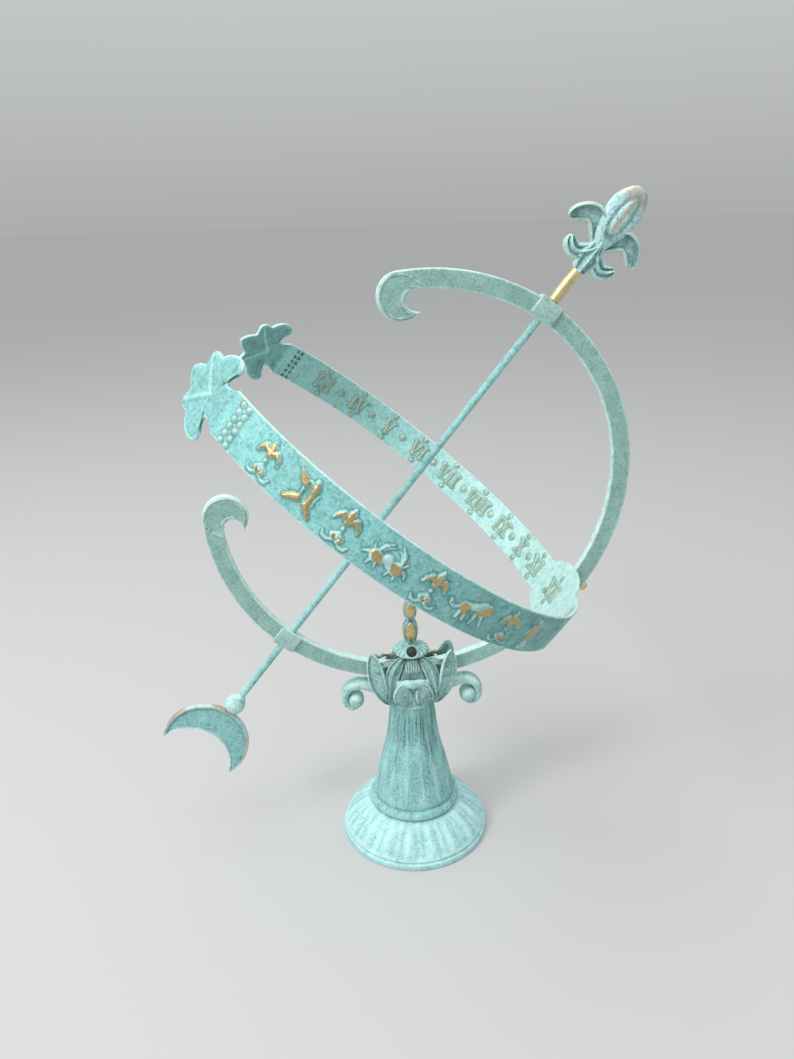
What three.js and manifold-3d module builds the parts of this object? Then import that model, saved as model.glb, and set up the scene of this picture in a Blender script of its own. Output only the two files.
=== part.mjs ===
// Armillary sundial: a cast verdigris sundial on a bell-shaped foot, in millimetres, +Z up.
// The origin is the centre of the foot's underside. +X is north, in the plane of the meridian
// ring, and -Y is the side that the outer (zodiac) face of the hour band turns to the viewer.

import * as THREE from 'three';
import { mergeVertices } from 'three/addons/utils/BufferGeometryUtils.js';
import Module from 'manifold-3d';

const wasm = await Module();
wasm.setup();

// ---------------------------------------------------------------- driving dimensions

const degree = Math.PI / 180;
const gap = 0.3;                       // clearance between pieces that touch
const latitude = 51.1 * degree;        // elevation of the gnomon above the horizon

const foot = { radius: 72.5, rim: 5.5, top: 33.5, topRadius: 41, wall: 5 };
const column = { top: 147, topRadius: 20.5, flangeRadius: 43.8, flangeTop: 41 };
const capital = { tipX: 37.5, tipZ: 202, halfDepth: 13 };
const ring = {
  x: 8.6, z: 358.5,                    // centre
  long: 193.8, short: 181.4,           // outer half-axes: the ring is slightly oval
  axis: 40.1 * degree,                 // direction of the long half-axis
  bar: 15.3, thickness: 7.6,
};
const hook = { radius: 20, notch: 8.5 };
const boss = { offset: 186, length: 22, depth: 17, width: 12 };
const band = {
  centre: -30.5,                       // band centre, from the ring centre towards noon
  noonRadius: 196.6, sideRadius: 207.7,
  shift: -2.9,                         // along the gnomon
  width: 35.2, thickness: 2.6,
  seam: 13.4,                          // degrees round the band from noon
  neck: { west: -129.6, east: 137.4 }, // where the leaf-shaped ends begin
  leaf: 18.9,                          // how far each leaf-shaped end reaches beyond
};
const plate = { centre: 1.8, halfArc: 10.2, lobe: 12, lobeEast: 2.4 };
const gnomon = { offset: -8.8, radius: 3.2, bottom: -267, top: 234 };
const sleeve = { radius: 4.7, bottom: 194.9, top: 226 };
const tip = { base: 226.4, end: 302.5, halfWidth: 34, thickness: 9 };
const ball = { centre: -274, radius: 9.6 };
const crescent = {
  outer: 41.4, inner: 37.9, outerCentre: -325.3, innerCentre: -352.5, thickness: 6,
  blunt: 9,                            // degrees of the back arc cut off at each horn
};
const cup = { radius: 16.7, bottom: 188.5, top: 208.5 };
const finial = { bottom: 208.9, top: 264, stud: 2.8 };

const ringBottom = 171.8;              // lowest point of the ring's outer edge
const tieRadius = 3;
const boreRadius = gnomon.radius + gap;
const ceiling = foot.top - foot.wall - 1;   // underside of the foot's top

// ---------------------------------------------------------------- materials

const verdigris = new THREE.MeshStandardMaterial({ color: 0x6fb3ac, roughness: 0.75, metalness: 0.35 });
const shadedVerdigris = new THREE.MeshStandardMaterial({ color: 0x4f8f88, roughness: 0.8, metalness: 0.35 });
const bareBrass = new THREE.MeshStandardMaterial({ color: 0xb48a3c, roughness: 0.3, metalness: 1 });
const darkSteel = new THREE.MeshStandardMaterial({ color: 0x6d6e6c, roughness: 0.5, metalness: 0.9 });
const rubber = new THREE.MeshStandardMaterial({ color: 0x1d1d1c, roughness: 0.9, metalness: 0 });

// ---------------------------------------------------------------- solids

// Merged vertices, no zero-area triangles and faces turned outwards.
function closed(geometry) {
  geometry.deleteAttribute('normal');
  geometry.deleteAttribute('uv');
  const merged = mergeVertices(geometry, 1e-4);
  const index = Array.from(merged.index.array);
  const kept = [];
  for (let i = 0; i < index.length; i += 3) {
    const [a, b, c] = index.slice(i, i + 3);
    if (a !== b && b !== c && c !== a) kept.push(a, b, c);
  }
  const points = merged.attributes.position;
  const corner = (i) => new THREE.Vector3().fromBufferAttribute(points, i);
  let volume = 0;
  for (let i = 0; i < kept.length; i += 3) {
    volume += corner(kept[i]).dot(corner(kept[i + 1]).cross(corner(kept[i + 2])));
  }
  if (volume < 0) kept.reverse();
  merged.setIndex(kept);
  return merged;
}

function solid(geometry) {
  const body = closed(geometry);
  return new wasm.Manifold(new wasm.Mesh({
    numProp: 3,
    vertProperties: new Float32Array(body.attributes.position.array),
    triVerts: new Uint32Array(body.index.array),
  }));
}

function fromSolid(manifold) {
  const mesh = manifold.getMesh();
  const geometry = new THREE.BufferGeometry();
  geometry.setAttribute('position', new THREE.BufferAttribute(mesh.vertProperties, 3));
  geometry.setIndex(Array.from(mesh.triVerts));
  return geometry;
}

function cut(geometry, ...tools) {
  return fromSolid(tools.reduce((body, tool) => body.subtract(solid(tool)), solid(geometry)));
}

function join(geometry, ...others) {
  return fromSolid(others.reduce((body, other) => body.add(solid(other)), solid(geometry)));
}

// ---------------------------------------------------------------- shapes

// Solid of revolution about Z, from [radius, height] pairs.
function turned(profile, segments = 36) {
  const points = profile.map(([radius, height]) => new THREE.Vector2(radius, height));
  return closed(new THREE.LatheGeometry(points, segments).rotateX(Math.PI / 2));
}

function rod(radius, from, to, segments = 20) {
  return turned([[0, from], [radius, from], [radius, to], [0, to]], segments);
}

function tube(inner, outer, from, to, segments = 24) {
  return turned([[inner, from], [outer, from], [outer, to], [inner, to], [inner, from]], segments);
}

function block(x, y, z, width, depth, height) {
  return new THREE.BoxGeometry(width, depth, height).translate(x, y, z);
}

// A flat outline in the X-Z plane, given its thickness along Y.
function flat(points, thickness, y = 0) {
  const shape = new THREE.Shape(points.map(([x, z]) => new THREE.Vector2(x, z)));
  const geometry = new THREE.ExtrudeGeometry(shape, { depth: thickness, bevelEnabled: false });
  return closed(geometry.translate(0, 0, -thickness / 2).rotateX(Math.PI / 2).translate(0, y, 0));
}

function arc(x, z, radius, from, to, steps) {
  const points = [];
  for (let i = 0; i <= steps; i += 1) {
    const angle = (from + (to - from) * i / steps) * degree;
    points.push([x + radius * Math.cos(angle), z + radius * Math.sin(angle)]);
  }
  return points;
}

// ---------------------------------------------------------------- the gnomon's frame

// Local +Z runs up the gnomon, local +X points from it to the noon mark.
const turn = new THREE.Matrix4().makeRotationY(Math.PI / 2 - latitude);
const toRow = new THREE.Matrix4().makeTranslation(ring.x, 0, ring.z).multiply(turn);
const inRow = (geometry) => geometry.clone().applyMatrix4(toRow);

// ---------------------------------------------------------------- foot and column

function footSkirt() {
  const { radius, rim, top, topRadius, wall } = foot;
  const outside = [[radius, 0], [radius, rim], [70, 8], [65, 17], [57, 25.5], [48, 31], [topRadius, top]];
  const inside = [[topRadius - 6, ceiling], [44, 25], [53, 19.5], [61, 11], [66.6, 3.3], [66.6, 0]];
  const bore = tieRadius + gap;
  return turned([...outside, [bore, top], [bore, ceiling], ...inside, outside[0]], 64);
}

function bellColumn() {
  const { top, topRadius, flangeRadius, flangeTop } = column;
  const base = foot.top + gap;
  const outside = [
    [flangeRadius - 1, base], [flangeRadius, base + 2], [flangeRadius, flangeTop - 2], [42, flangeTop],
    [39.5, 47], [36.8, 60], [33.8, 73.5], [30.5, 87], [27.6, 98], [24.2, 115], [22.4, 133], [topRadius, top - gap],
  ];
  const inside = [[12, top - gap], [14, 115], [17, 97], [26, 73], [32, 55], [34, base]];
  return turned([...outside, ...inside, outside[0]], 48);
}

// ---------------------------------------------------------------- capital and clamp

// Half outline of the flower: a petal that ends in a point beside the ring.
const petal = [
  [20.5, 147.5], [29, 152], [37, 163], [42, 177], [42, 191], [capital.tipX, capital.tipZ],
  [32, 193], [25, 186], [14, 181.5],
];

function leafCapital() {
  const mirrored = petal.map(([x, z]) => [-x, z]).reverse();
  const flower = flat([...petal, ...mirrored], 2 * capital.halfDepth);
  const core = turned([
    [0, 147.1], [20.3, 147.1], [21.8, 151], [23.5, 157], [23, 165], [20, 171], [19, 178], [0, 178],
  ], 32);
  const parts = [core];
  for (const side of [-1, 1]) {
    parts.push(flat([...arc(side * 53, 155, 13.7, 0, 360, 24).slice(1)], 13));
    parts.push(flat([[side * 18, 149], [side * 40, 155], [side * 54, 162], [side * 50, 168.4], [side * 20, 170]], 13));
    parts.push(new THREE.SphereGeometry(8, 16, 12).translate(side * 54, 0, 149.5));
    for (const front of [-1, 1]) {
      const leafTip = new THREE.SphereGeometry(9, 16, 10).scale(1, 0.75, 1.05);
      parts.push(leafTip.translate(side * 10, front * 18.5, 163));
    }
  }
  const slot = block(0, 0, ringBottom - 0.6 + 50, 300, ring.thickness + 2 * 0.5, 100);
  const socket = block(0, 0, 156 + 25, 17, 16.4, 50);
  const bore = rod(tieRadius + gap, 130, 160);
  return cut(join(flower, ...parts), slot, socket, bore);
}

function clampCup() {
  const body = turned([
    [0, cup.bottom], [7.5, cup.bottom], [8.5, 193], [14, 195.5], [cup.radius, 200], [cup.radius - 1.2, 205],
    [10, cup.top], [0, cup.top],
  ], 40);
  const cheeks = [-1, 1].map((side) => block(0, side * 5.9, 174.5, 13, 3.2, 33));
  const stud = rod(finial.stud + gap, 180, 215);
  const screwHole = rod(4.4, 0, 12, 20).rotateX(Math.PI / 2).translate(0, -9.5, 201.5);
  const pinHole = rod(2.7, -12, 12, 16).rotateX(Math.PI / 2).translate(0, 0, 163.5);
  return cut(join(body, ...cheeks), stud, screwHole, pinHole);
}

function cupScrew() {
  return rod(4.1, 9.8, 12.5, 20).rotateX(Math.PI / 2).translate(0, 0, 201.5);
}

function tieRod() {
  const eye = rod(5.4, -3.8, 3.8, 24).rotateX(Math.PI / 2).translate(0, 0, 163.5);
  const hole = rod(2.7, -8, 8, 16).rotateX(Math.PI / 2).translate(0, 0, 163.5);
  return cut(join(rod(tieRadius, 14, 162), eye), hole);
}

function crossPin() {
  return rod(2.4, -7.9, 7.9, 16).rotateX(Math.PI / 2).translate(0, 0, 163.5);
}

function tieNut() {
  const top = ceiling - 2.2;
  return cut(rod(6.5, top - 5.5, top, 6), rod(tieRadius + gap, top - 8, top + 2));
}

function finialBud() {
  return turned([
    [0, cup.bottom + 0.2], [finial.stud, cup.bottom + 0.2], [finial.stud, finial.bottom],
    [4.2, finial.bottom], [5.2, 211], [7.6, 219], [7.2, 226], [5, 232], [6.4, 237], [6.6, 243],
    [4.6, 250], [3.2, 254], [3.6, 257.5], [2, 262], [0, finial.top],
  ], 24);
}

// ---------------------------------------------------------------- meridian ring

// A point of the ring's edge in a given direction from its centre.
function onRing(inset, angle) {
  const across = ring.short - inset;
  const along = across * ring.long / ring.short;
  const local = angle * degree - ring.axis;
  const reach = along * across / Math.hypot(across * Math.cos(local), along * Math.sin(local));
  return [ring.x + reach * Math.cos(angle * degree), ring.z + reach * Math.sin(angle * degree)];
}

function ringArc(inset, from, to, steps) {
  const points = [];
  for (let i = 0; i <= steps; i += 1) points.push(onRing(inset, from + (to - from) * i / steps));
  return points;
}

// The open ring: an oval bar whose two ends curl inwards to a point, like the end of a crook.
function meridianRing() {
  const upperEnd = 93;
  const lowerEnd = -175;
  const top = onRing(0, upperEnd);
  const left = onRing(0, lowerEnd);
  const { radius, notch } = hook;
  const outline = [
    ...arc(top[0], top[1] - radius, radius, -40, -270, 22),
    ...ringArc(0, upperEnd, lowerEnd, 72).slice(1),
    ...arc(left[0] + radius, left[1], radius, 180, -40, 22).slice(1),
    ...arc(left[0] + radius + 6.5, left[1] - 10.5, notch, -25, 180, 12),
    ...ringArc(ring.bar, lowerEnd + 4, upperEnd - 4, 64),
    ...arc(top[0] + 12.5, top[1] - ring.bar - notch, notch, 90, 250, 12).slice(1),
  ];
  const bosses = [-1, 1].map((side) => inRow(block(
    gnomon.offset, 0, side * boss.offset, boss.length, boss.width, boss.depth,
  )));
  const bore = inRow(rod(boreRadius, -230, 230, 16).translate(gnomon.offset, 0, 0));
  const noonSeat = band.centre + band.noonRadius + gap;
  const seat = inRow(block(noonSeat - 20, 0, band.shift, 40, 30, 66));
  const screws = [-1, 1].map((side) => inRow(screwHole(side)));
  const grubs = [-1, 1].map((side) => grubHole(side));
  return cut(join(flat(outline, ring.thickness), ...bosses), bore, seat, ...screws, ...grubs);
}

const screw = { radius: 1.8, head: 4.4, seat: 180.3, top: 186.3, spacing: 20.5 };

// Clearance hole through the ring, with a flat seat for the screw's head.
function screwHole(side) {
  const hole = join(rod(screw.radius + gap, 150, 200, 12), rod(screw.head + 0.4, screw.seat, 200, 16));
  return hole.rotateY(Math.PI / 2).translate(0, 0, band.shift + side * screw.spacing);
}

// Slotted round-head screw, driven inwards through the ring into the band's lug.
function bandScrew(side) {
  const lug = band.centre + band.noonRadius + 0.1;
  const seat = screw.seat + 0.2;
  const shank = [[0, lug], [screw.radius, lug], [screw.radius, seat]];
  const head = [[screw.head, seat], [screw.head, screw.top - 2.5], [3, screw.top - 0.5], [0, screw.top]];
  const turnedScrew = turned([...shank, ...head], 16);
  return turnedScrew.rotateY(Math.PI / 2).translate(0, 0, band.shift + side * screw.spacing);
}

function grubHole(side) {
  const hole = rod(2.2 + gap, 3.4, 10, 12).rotateX(Math.PI / 2);
  return inRow(hole.translate(gnomon.offset, 0, side * boss.offset));
}

function grubScrew(side) {
  const grub = rod(2.2, gnomon.radius + gap, boss.width / 2 - 0.3, 12).rotateX(Math.PI / 2);
  return grub.translate(gnomon.offset, 0, side * boss.offset);
}

// ---------------------------------------------------------------- hour band

const bandDegree = 3.5;                // millimetres of arc in one degree of the band

// Half-width of the leaf-shaped end at a distance beyond the band's neck.
function palmette(reach) {
  const stations = [
    [0, 17.6], [4, 14.8], [9, 13.8], [10.5, 27], [14, 33], [20, 33], [27, 30.5], [35, 23.4],
    [40, 23.8], [46, 22.5], [49.5, 19], [50.5, 10], [56, 6.7], [62, 4], [66.5, 1.5],
  ];
  const next = stations.findIndex(([s]) => s > reach);
  if (next < 0) return stations.at(-1)[1];
  const [s0, w0] = stations[next - 1];
  const [s1, w1] = stations[next];
  return w0 + (w1 - w0) * (reach - s0) / (s1 - s0);
}

// Half-width of the band at an angle from noon: round lugs on both sides of the seam.
function halfWidth(angle) {
  const beyond = Math.max(angle - band.neck.east, band.neck.west - angle);
  if (beyond > 0) return palmette(beyond * bandDegree);
  const east = angle > band.seam;
  const centre = east ? 2 * band.seam - plate.centre : plate.centre;
  const swell = Math.max(0, 1 - ((angle - centre) / plate.halfArc) ** 2);
  return band.width / 2 + (east ? plate.lobeEast : plate.lobe) * Math.sqrt(swell);
}

// One casting of the band: a thin strip bent round the gnomon, in the gnomon's frame.
function bandCasting(from, to) {
  const steps = Math.round(Math.abs(to - from) / 1.7);
  const positions = [];
  const index = [];
  for (let i = 0; i <= steps; i += 1) {
    const angle = from + (to - from) * i / steps;
    const half = halfWidth(angle);
    for (const [inset, side] of [[0, -1], [0, 1], [band.thickness, 1], [band.thickness, -1]]) {
      positions.push(
        band.centre + (band.noonRadius - inset) * Math.cos(angle * degree),
        -(band.sideRadius - inset) * Math.sin(angle * degree),
        band.shift + side * half,
      );
    }
  }
  for (let i = 0; i < steps; i += 1) {
    for (let k = 0; k < 4; k += 1) {
      const a = 4 * i + k;
      const b = 4 * i + (k + 1) % 4;
      index.push(a, b, b + 4, a, b + 4, a + 4);
    }
  }
  const last = 4 * steps;
  index.push(0, 2, 1, 0, 3, 2, last, last + 1, last + 2, last, last + 2, last + 3);
  const geometry = new THREE.BufferGeometry();
  geometry.setAttribute('position', new THREE.Float32BufferAttribute(positions, 3));
  geometry.setIndex(index);
  return closed(geometry);
}

// ---------------------------------------------------------------- gnomon

function fleurDeLis() {
  const { base, end, halfWidth: reach, thickness } = tip;
  const right = [
    [5, base], [10, base + 2], [18, base + 3], [26, base + 9], [25, base + 16], [19, base + 17],
    [11, base + 20], [9, base + 24.5], [18, base + 27], [27, base + 26.5], [reach - 1, base + 29],
    [reach, base + 36], [30.5, base + 42], [24, base + 47], [16, base + 48.5], [13, base + 46.5],
    [14.6, base + 56], [13.4, base + 64], [9.5, base + 70], [4.5, base + 75],
  ];
  const left = right.map(([x, z]) => [-x, z]).reverse();
  const body = flat([...right, [0, end], ...left], thickness);
  const socket = turned([[0, base], [7, base], [8, base + 12], [6, base + 24], [0, base + 30]], 20);
  return cut(join(body, socket), rod(boreRadius, base - 5, gnomon.top + gap, 16));
}

function tailBall() {
  const sphere = new THREE.SphereGeometry(ball.radius, 20, 14).rotateX(Math.PI / 2);
  const bore = rod(boreRadius, gnomon.bottom - gap, gnomon.bottom + 30, 16);
  return cut(sphere.translate(0, 0, ball.centre), bore);
}

// A crescent moon with its back to the ball and its horns pointing away.
function crescentTail() {
  const { outer, inner, outerCentre, innerCentre, thickness, blunt } = crescent;
  const shift = outerCentre - innerCentre;
  const hornDrop = (shift ** 2 + outer ** 2 - inner ** 2) / (2 * shift);
  const outerEnd = Math.acos(-hornDrop / outer) / degree - blunt;
  const innerEnd = Math.asin(Math.sqrt(outer ** 2 - hornDrop ** 2) / inner) / degree;
  const outline = [
    ...arc(0, outerCentre, outer, 90 + outerEnd, 90 - outerEnd, 40),
    ...arc(0, innerCentre, inner, 90 - innerEnd, 90 + innerEnd, 28),
  ];
  return flat(outline, thickness);
}

// ---------------------------------------------------------------- assembly

const sundial = new THREE.Group();

function add(parent, name, geometry, material) {
  const mesh = new THREE.Mesh(geometry, material);
  mesh.name = name;
  parent.add(mesh);
}

add(sundial, 'base_pad', rod(66.2, 0, 3, 48), rubber);
add(sundial, 'foot_skirt', footSkirt(), verdigris);
add(sundial, 'bell_column', bellColumn(), verdigris);
add(sundial, 'leaf_capital', leafCapital(), verdigris);
add(sundial, 'clamp_cup', clampCup(), verdigris);
add(sundial, 'cup_screw', cupScrew(), bareBrass);
add(sundial, 'tie_rod', tieRod(), darkSteel);
add(sundial, 'cross_pin', crossPin(), darkSteel);
add(sundial, 'tie_washer', tube(tieRadius + gap, 9, ceiling - 1.9, ceiling - gap, 24), darkSteel);
add(sundial, 'tie_nut', tieNut(), darkSteel);
add(sundial, 'finial', finialBud(), bareBrass);
add(sundial, 'meridian_ring', meridianRing(), verdigris);

const polar = new THREE.Group();
polar.position.set(ring.x, 0, ring.z);
polar.rotation.y = Math.PI / 2 - latitude;
sundial.add(polar);
add(polar, 'hour_band_west', bandCasting(band.neck.west - band.leaf, band.seam - 0.1), shadedVerdigris);
add(polar, 'hour_band_east', bandCasting(band.seam + 0.1, band.neck.east + band.leaf), verdigris);
add(polar, 'band_screw_north', bandScrew(1), bareBrass);
add(polar, 'band_screw_south', bandScrew(-1), bareBrass);
add(polar, 'upper_grub_screw', grubScrew(1), bareBrass);
add(polar, 'lower_grub_screw', grubScrew(-1), bareBrass);

const pointer = new THREE.Group();
pointer.position.x = gnomon.offset;
polar.add(pointer);
add(pointer, 'gnomon_rod', rod(gnomon.radius, gnomon.bottom, gnomon.top, 16), verdigris);
add(pointer, 'brass_sleeve', tube(boreRadius, sleeve.radius, sleeve.bottom, sleeve.top, 20), bareBrass);
add(pointer, 'fleur_de_lis', fleurDeLis(), verdigris);
add(pointer, 'tail_ball', tailBall(), verdigris);
add(pointer, 'crescent_tail', crescentTail(), verdigris);

export default sundial;
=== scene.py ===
"""Armillary sundial: finished shapes, materials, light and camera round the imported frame.

Shapes are worked out in millimetres in the row frame (+Z up, +X north, -Y towards the viewer)
and stored in metres. Every piece made here is lofted or is relief on a bent strip. The hidden
fasteners, the pad and the cup's screw keep their CAD shape.
"""

import math

import bmesh
import bpy
import numpy as np
from mathutils import Matrix


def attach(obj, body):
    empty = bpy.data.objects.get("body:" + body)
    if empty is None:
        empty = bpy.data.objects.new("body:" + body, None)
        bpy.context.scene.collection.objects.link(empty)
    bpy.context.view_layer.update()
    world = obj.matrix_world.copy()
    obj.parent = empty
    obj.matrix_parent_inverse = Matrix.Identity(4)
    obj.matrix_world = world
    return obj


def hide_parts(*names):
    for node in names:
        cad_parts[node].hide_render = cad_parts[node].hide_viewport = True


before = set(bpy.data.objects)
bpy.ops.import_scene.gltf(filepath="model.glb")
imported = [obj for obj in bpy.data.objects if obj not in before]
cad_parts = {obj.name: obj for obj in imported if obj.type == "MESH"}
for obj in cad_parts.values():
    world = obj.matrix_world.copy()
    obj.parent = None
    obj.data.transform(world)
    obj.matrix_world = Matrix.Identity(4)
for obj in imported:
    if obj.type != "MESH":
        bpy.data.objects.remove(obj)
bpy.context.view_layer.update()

# ---------------------------------------------------------------- driving dimensions (mm)

METRES = 0.001
LATITUDE = math.radians(51.1)
RING_X, RING_Z = 8.6, 358.5
RING_LONG, RING_SHORT = 193.8, 181.4
RING_AXIS = math.radians(40.1)
RING_BAR, RING_THICK, RING_EDGE = 15.3, 7.6, 1.1
HOOK_RADIUS, HOOK_NOTCH = 20.0, 8.5
HOOK_ENDS = (93, -175)

BAND_CENTRE, BAND_NOON, BAND_SIDE = -30.5, 196.6, 207.7
BAND_SHIFT, BAND_WIDTH, BAND_THICK, BAND_EDGE = -2.9, 35.2, 2.6, 0.7
BAND_NECK = {1: 137.4, -1: 129.6}
BAND_SEAM = 13.4
DEGREE_OF_BAND = 3.5
PLATE_CENTRE, PLATE_ARC, PLATE_LOBE, PLATE_LOBE_EAST = 1.8, 10.2, 12.0, 2.4

GNOMON_OFFSET, ROD_RADIUS = -8.8, 3.2
ROD_BOTTOM, ROD_TOP = -267.0, 234.0
SLEEVE_RADIUS, SLEEVE_BOTTOM, SLEEVE_TOP = 4.7, 194.9, 226.0
BOSS_OFFSET, BOSS_LENGTH, BOSS_DEPTH, BOSS_WIDTH = 186.0, 22.0, 17.0, 12.0
BALL_CENTRE, BALL_RADIUS = -274.0, 9.6
CRESCENT_OUTER, CRESCENT_INNER = 41.4, 37.9
CRESCENT_OUTER_CENTRE, CRESCENT_INNER_CENTRE = -325.3, -352.5
CRESCENT_BLUNT, CRESCENT_THICK, CRESCENT_EDGE = 8.0, 6.0, 1.3
TIP_BASE, TIP_END, TIP_THICK, WING_THICK = 226.4, 302.5, 13.0, 12.0


# ---------------------------------------------------------------- small maths


def smooth(low, high, value):
    """0 below low, 1 above high, and a soft step between."""
    t = np.clip((value - low) / (high - low), 0, 1)
    return t * t * (3 - 2 * t)


def bump(value, centre, width):
    """A soft bump of height 1."""
    return np.exp(-(((value - centre) / width) ** 2))


def spline(points, steps):
    """Catmull-Rom curve through points with any number of columns."""
    p = np.asarray(points, float)
    p = np.vstack([2 * p[0] - p[1], p, 2 * p[-1] - p[-2]])
    t = (np.arange(steps) / steps)[:, None]
    spans = []
    for a, b, c, d in zip(p[:-3], p[1:-2], p[2:-1], p[3:]):
        curve = 2 * b + (c - a) * t + (2 * a - 5 * b + 4 * c - d) * t**2 + (3 * b - a - 3 * c + d) * t**3
        spans.append(curve / 2)
    return np.vstack([*spans, p[-2:-1]])


def arc(x, z, radius, start, end, steps):
    """Points on a circle, angles in degrees."""
    a = np.radians(np.linspace(start, end, steps + 1))
    return np.stack([x + radius * np.cos(a), z + radius * np.sin(a)], -1)


def resampled(points, count):
    """The same path with evenly spaced points."""
    p = np.asarray(points, float)
    run = np.concatenate([[0], np.cumsum(np.linalg.norm(np.diff(p, axis=0), axis=1))])
    want = np.linspace(0, run[-1], count)
    return np.stack([np.interp(want, run, p[:, k]) for k in range(p.shape[1])], -1)


def unit(vector):
    return vector / np.linalg.norm(vector)


def directions(path):
    """Unit vectors along a path."""
    run = np.gradient(path, axis=0)
    return run / np.linalg.norm(run, axis=1, keepdims=True)


def in_row(noon, near, up):
    """Row-frame points from the gnomon's frame: towards noon, towards the viewer, up the rod."""
    x = RING_X + noon * math.sin(LATITUDE) + up * math.cos(LATITUDE)
    z = RING_Z - noon * math.cos(LATITUDE) + up * math.sin(LATITUDE)
    return np.stack(np.broadcast_arrays(x, -near, z), -1)


# ---------------------------------------------------------------- mesh building


SHARP_ANGLE = math.radians(40)


def added(name, data):
    """A new object with this data, linked into the scene."""
    made = bpy.data.objects.new(name, data)
    bpy.context.scene.collection.objects.link(made)
    return made


def piece(name, part, material, body, stands_for=()):
    """Makes a mesh object from (points in millimetres, faces, layers) and joins it to a CAD body."""
    points, faces, *layers = part
    mesh = bpy.data.meshes.new(name)
    mesh.from_pydata((np.asarray(points) * METRES).tolist(), [], faces)
    for key, values in (layers[0] if layers else {}).items():
        layer = mesh.attributes.new(key, "FLOAT", "POINT")
        layer.data.foreach_set("value", np.asarray(values, np.float32).ravel())
    soft = bmesh.new()
    soft.from_mesh(mesh)
    bmesh.ops.remove_doubles(soft, verts=soft.verts, dist=0.00002)
    bmesh.ops.recalc_face_normals(soft, faces=soft.faces)
    soft.to_mesh(mesh)
    soft.free()
    mesh.shade_smooth()
    mesh.set_sharp_from_angle(angle=SHARP_ANGLE)
    mesh.materials.append(material)
    made = added(name, mesh)
    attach(made, body)
    if stands_for:
        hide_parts(*stands_for)


def loft(rings, wrap=False):
    """Closed skin through a row of closed sections: (sections, points, 3).

    The two end sections get caps, or with wrap the last one joins the first.
    """
    rings = np.asarray(rings, float)
    count, around = rings.shape[:2]
    index = np.arange(count * around).reshape(count, around)
    low, high = (index, np.roll(index, -1, 0)) if wrap else (index[:-1], index[1:])
    quads = np.stack([low, np.roll(low, -1, 1), np.roll(high, -1, 1), high], -1).reshape(-1, 4)
    faces = quads.tolist()
    if not wrap:
        faces += [index[0][::-1].tolist(), index[-1].tolist()]
    return rings.reshape(-1, 3), faces


def merged(*parts):
    """Several (points, faces, layers) as one."""
    points, faces, layers, start = [], [], {"worn": [], "shade": [], "pale": []}, 0
    for part in parts:
        p, f = part[0], part[1]
        given = part[2] if len(part) > 2 else {}
        points.append(p)
        faces += [[i + start for i in face] for face in f]
        for key, values in layers.items():
            values.append(np.asarray(given.get(key, np.zeros(len(p))), float).ravel())
        start += len(p)
    return np.vstack(points), faces, {k: np.concatenate(v) for k, v in layers.items()}


def turned(profile, sides, shape=None, wrap=False):
    """A body of revolution about Z. shape(angle, r, z) may change r and add layers.

    wrap is for a hollow body, whose profile goes all the way round its wall.
    """
    profile = np.asarray(profile, float)
    angle = np.linspace(0, 2 * math.pi, sides, endpoint=False)[None]
    radius = profile[:, :1] + 0 * angle
    height = profile[:, 1:2] + 0 * angle
    layers = {}
    if shape:
        radius, height, layers = shape(angle + 0 * radius, radius, height)
    rings = np.stack([radius * np.cos(angle), radius * np.sin(angle), height], -1)
    points, faces = loft(rings, wrap)
    return points, faces, {k: np.ravel(v) for k, v in layers.items()}


def along_path(path, section):
    """A loft along a 3-D path. section(share of the path) gives (across, up), with across near Y."""
    rings = []
    for i, (here, way) in enumerate(zip(path, directions(path))):
        across = np.array([0.0, 1.0, 0.0])
        across = unit(across - way * (across @ way))
        up = np.cross(way, across)
        a, b = section(i / (len(path) - 1))
        rings.append(here + np.outer(a, across) + np.outer(b, up))
    return loft(rings)


def circle(radius, sides):
    a = np.linspace(0, 2 * math.pi, sides, endpoint=False)
    return radius * np.cos(a), radius * np.sin(a)


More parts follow.
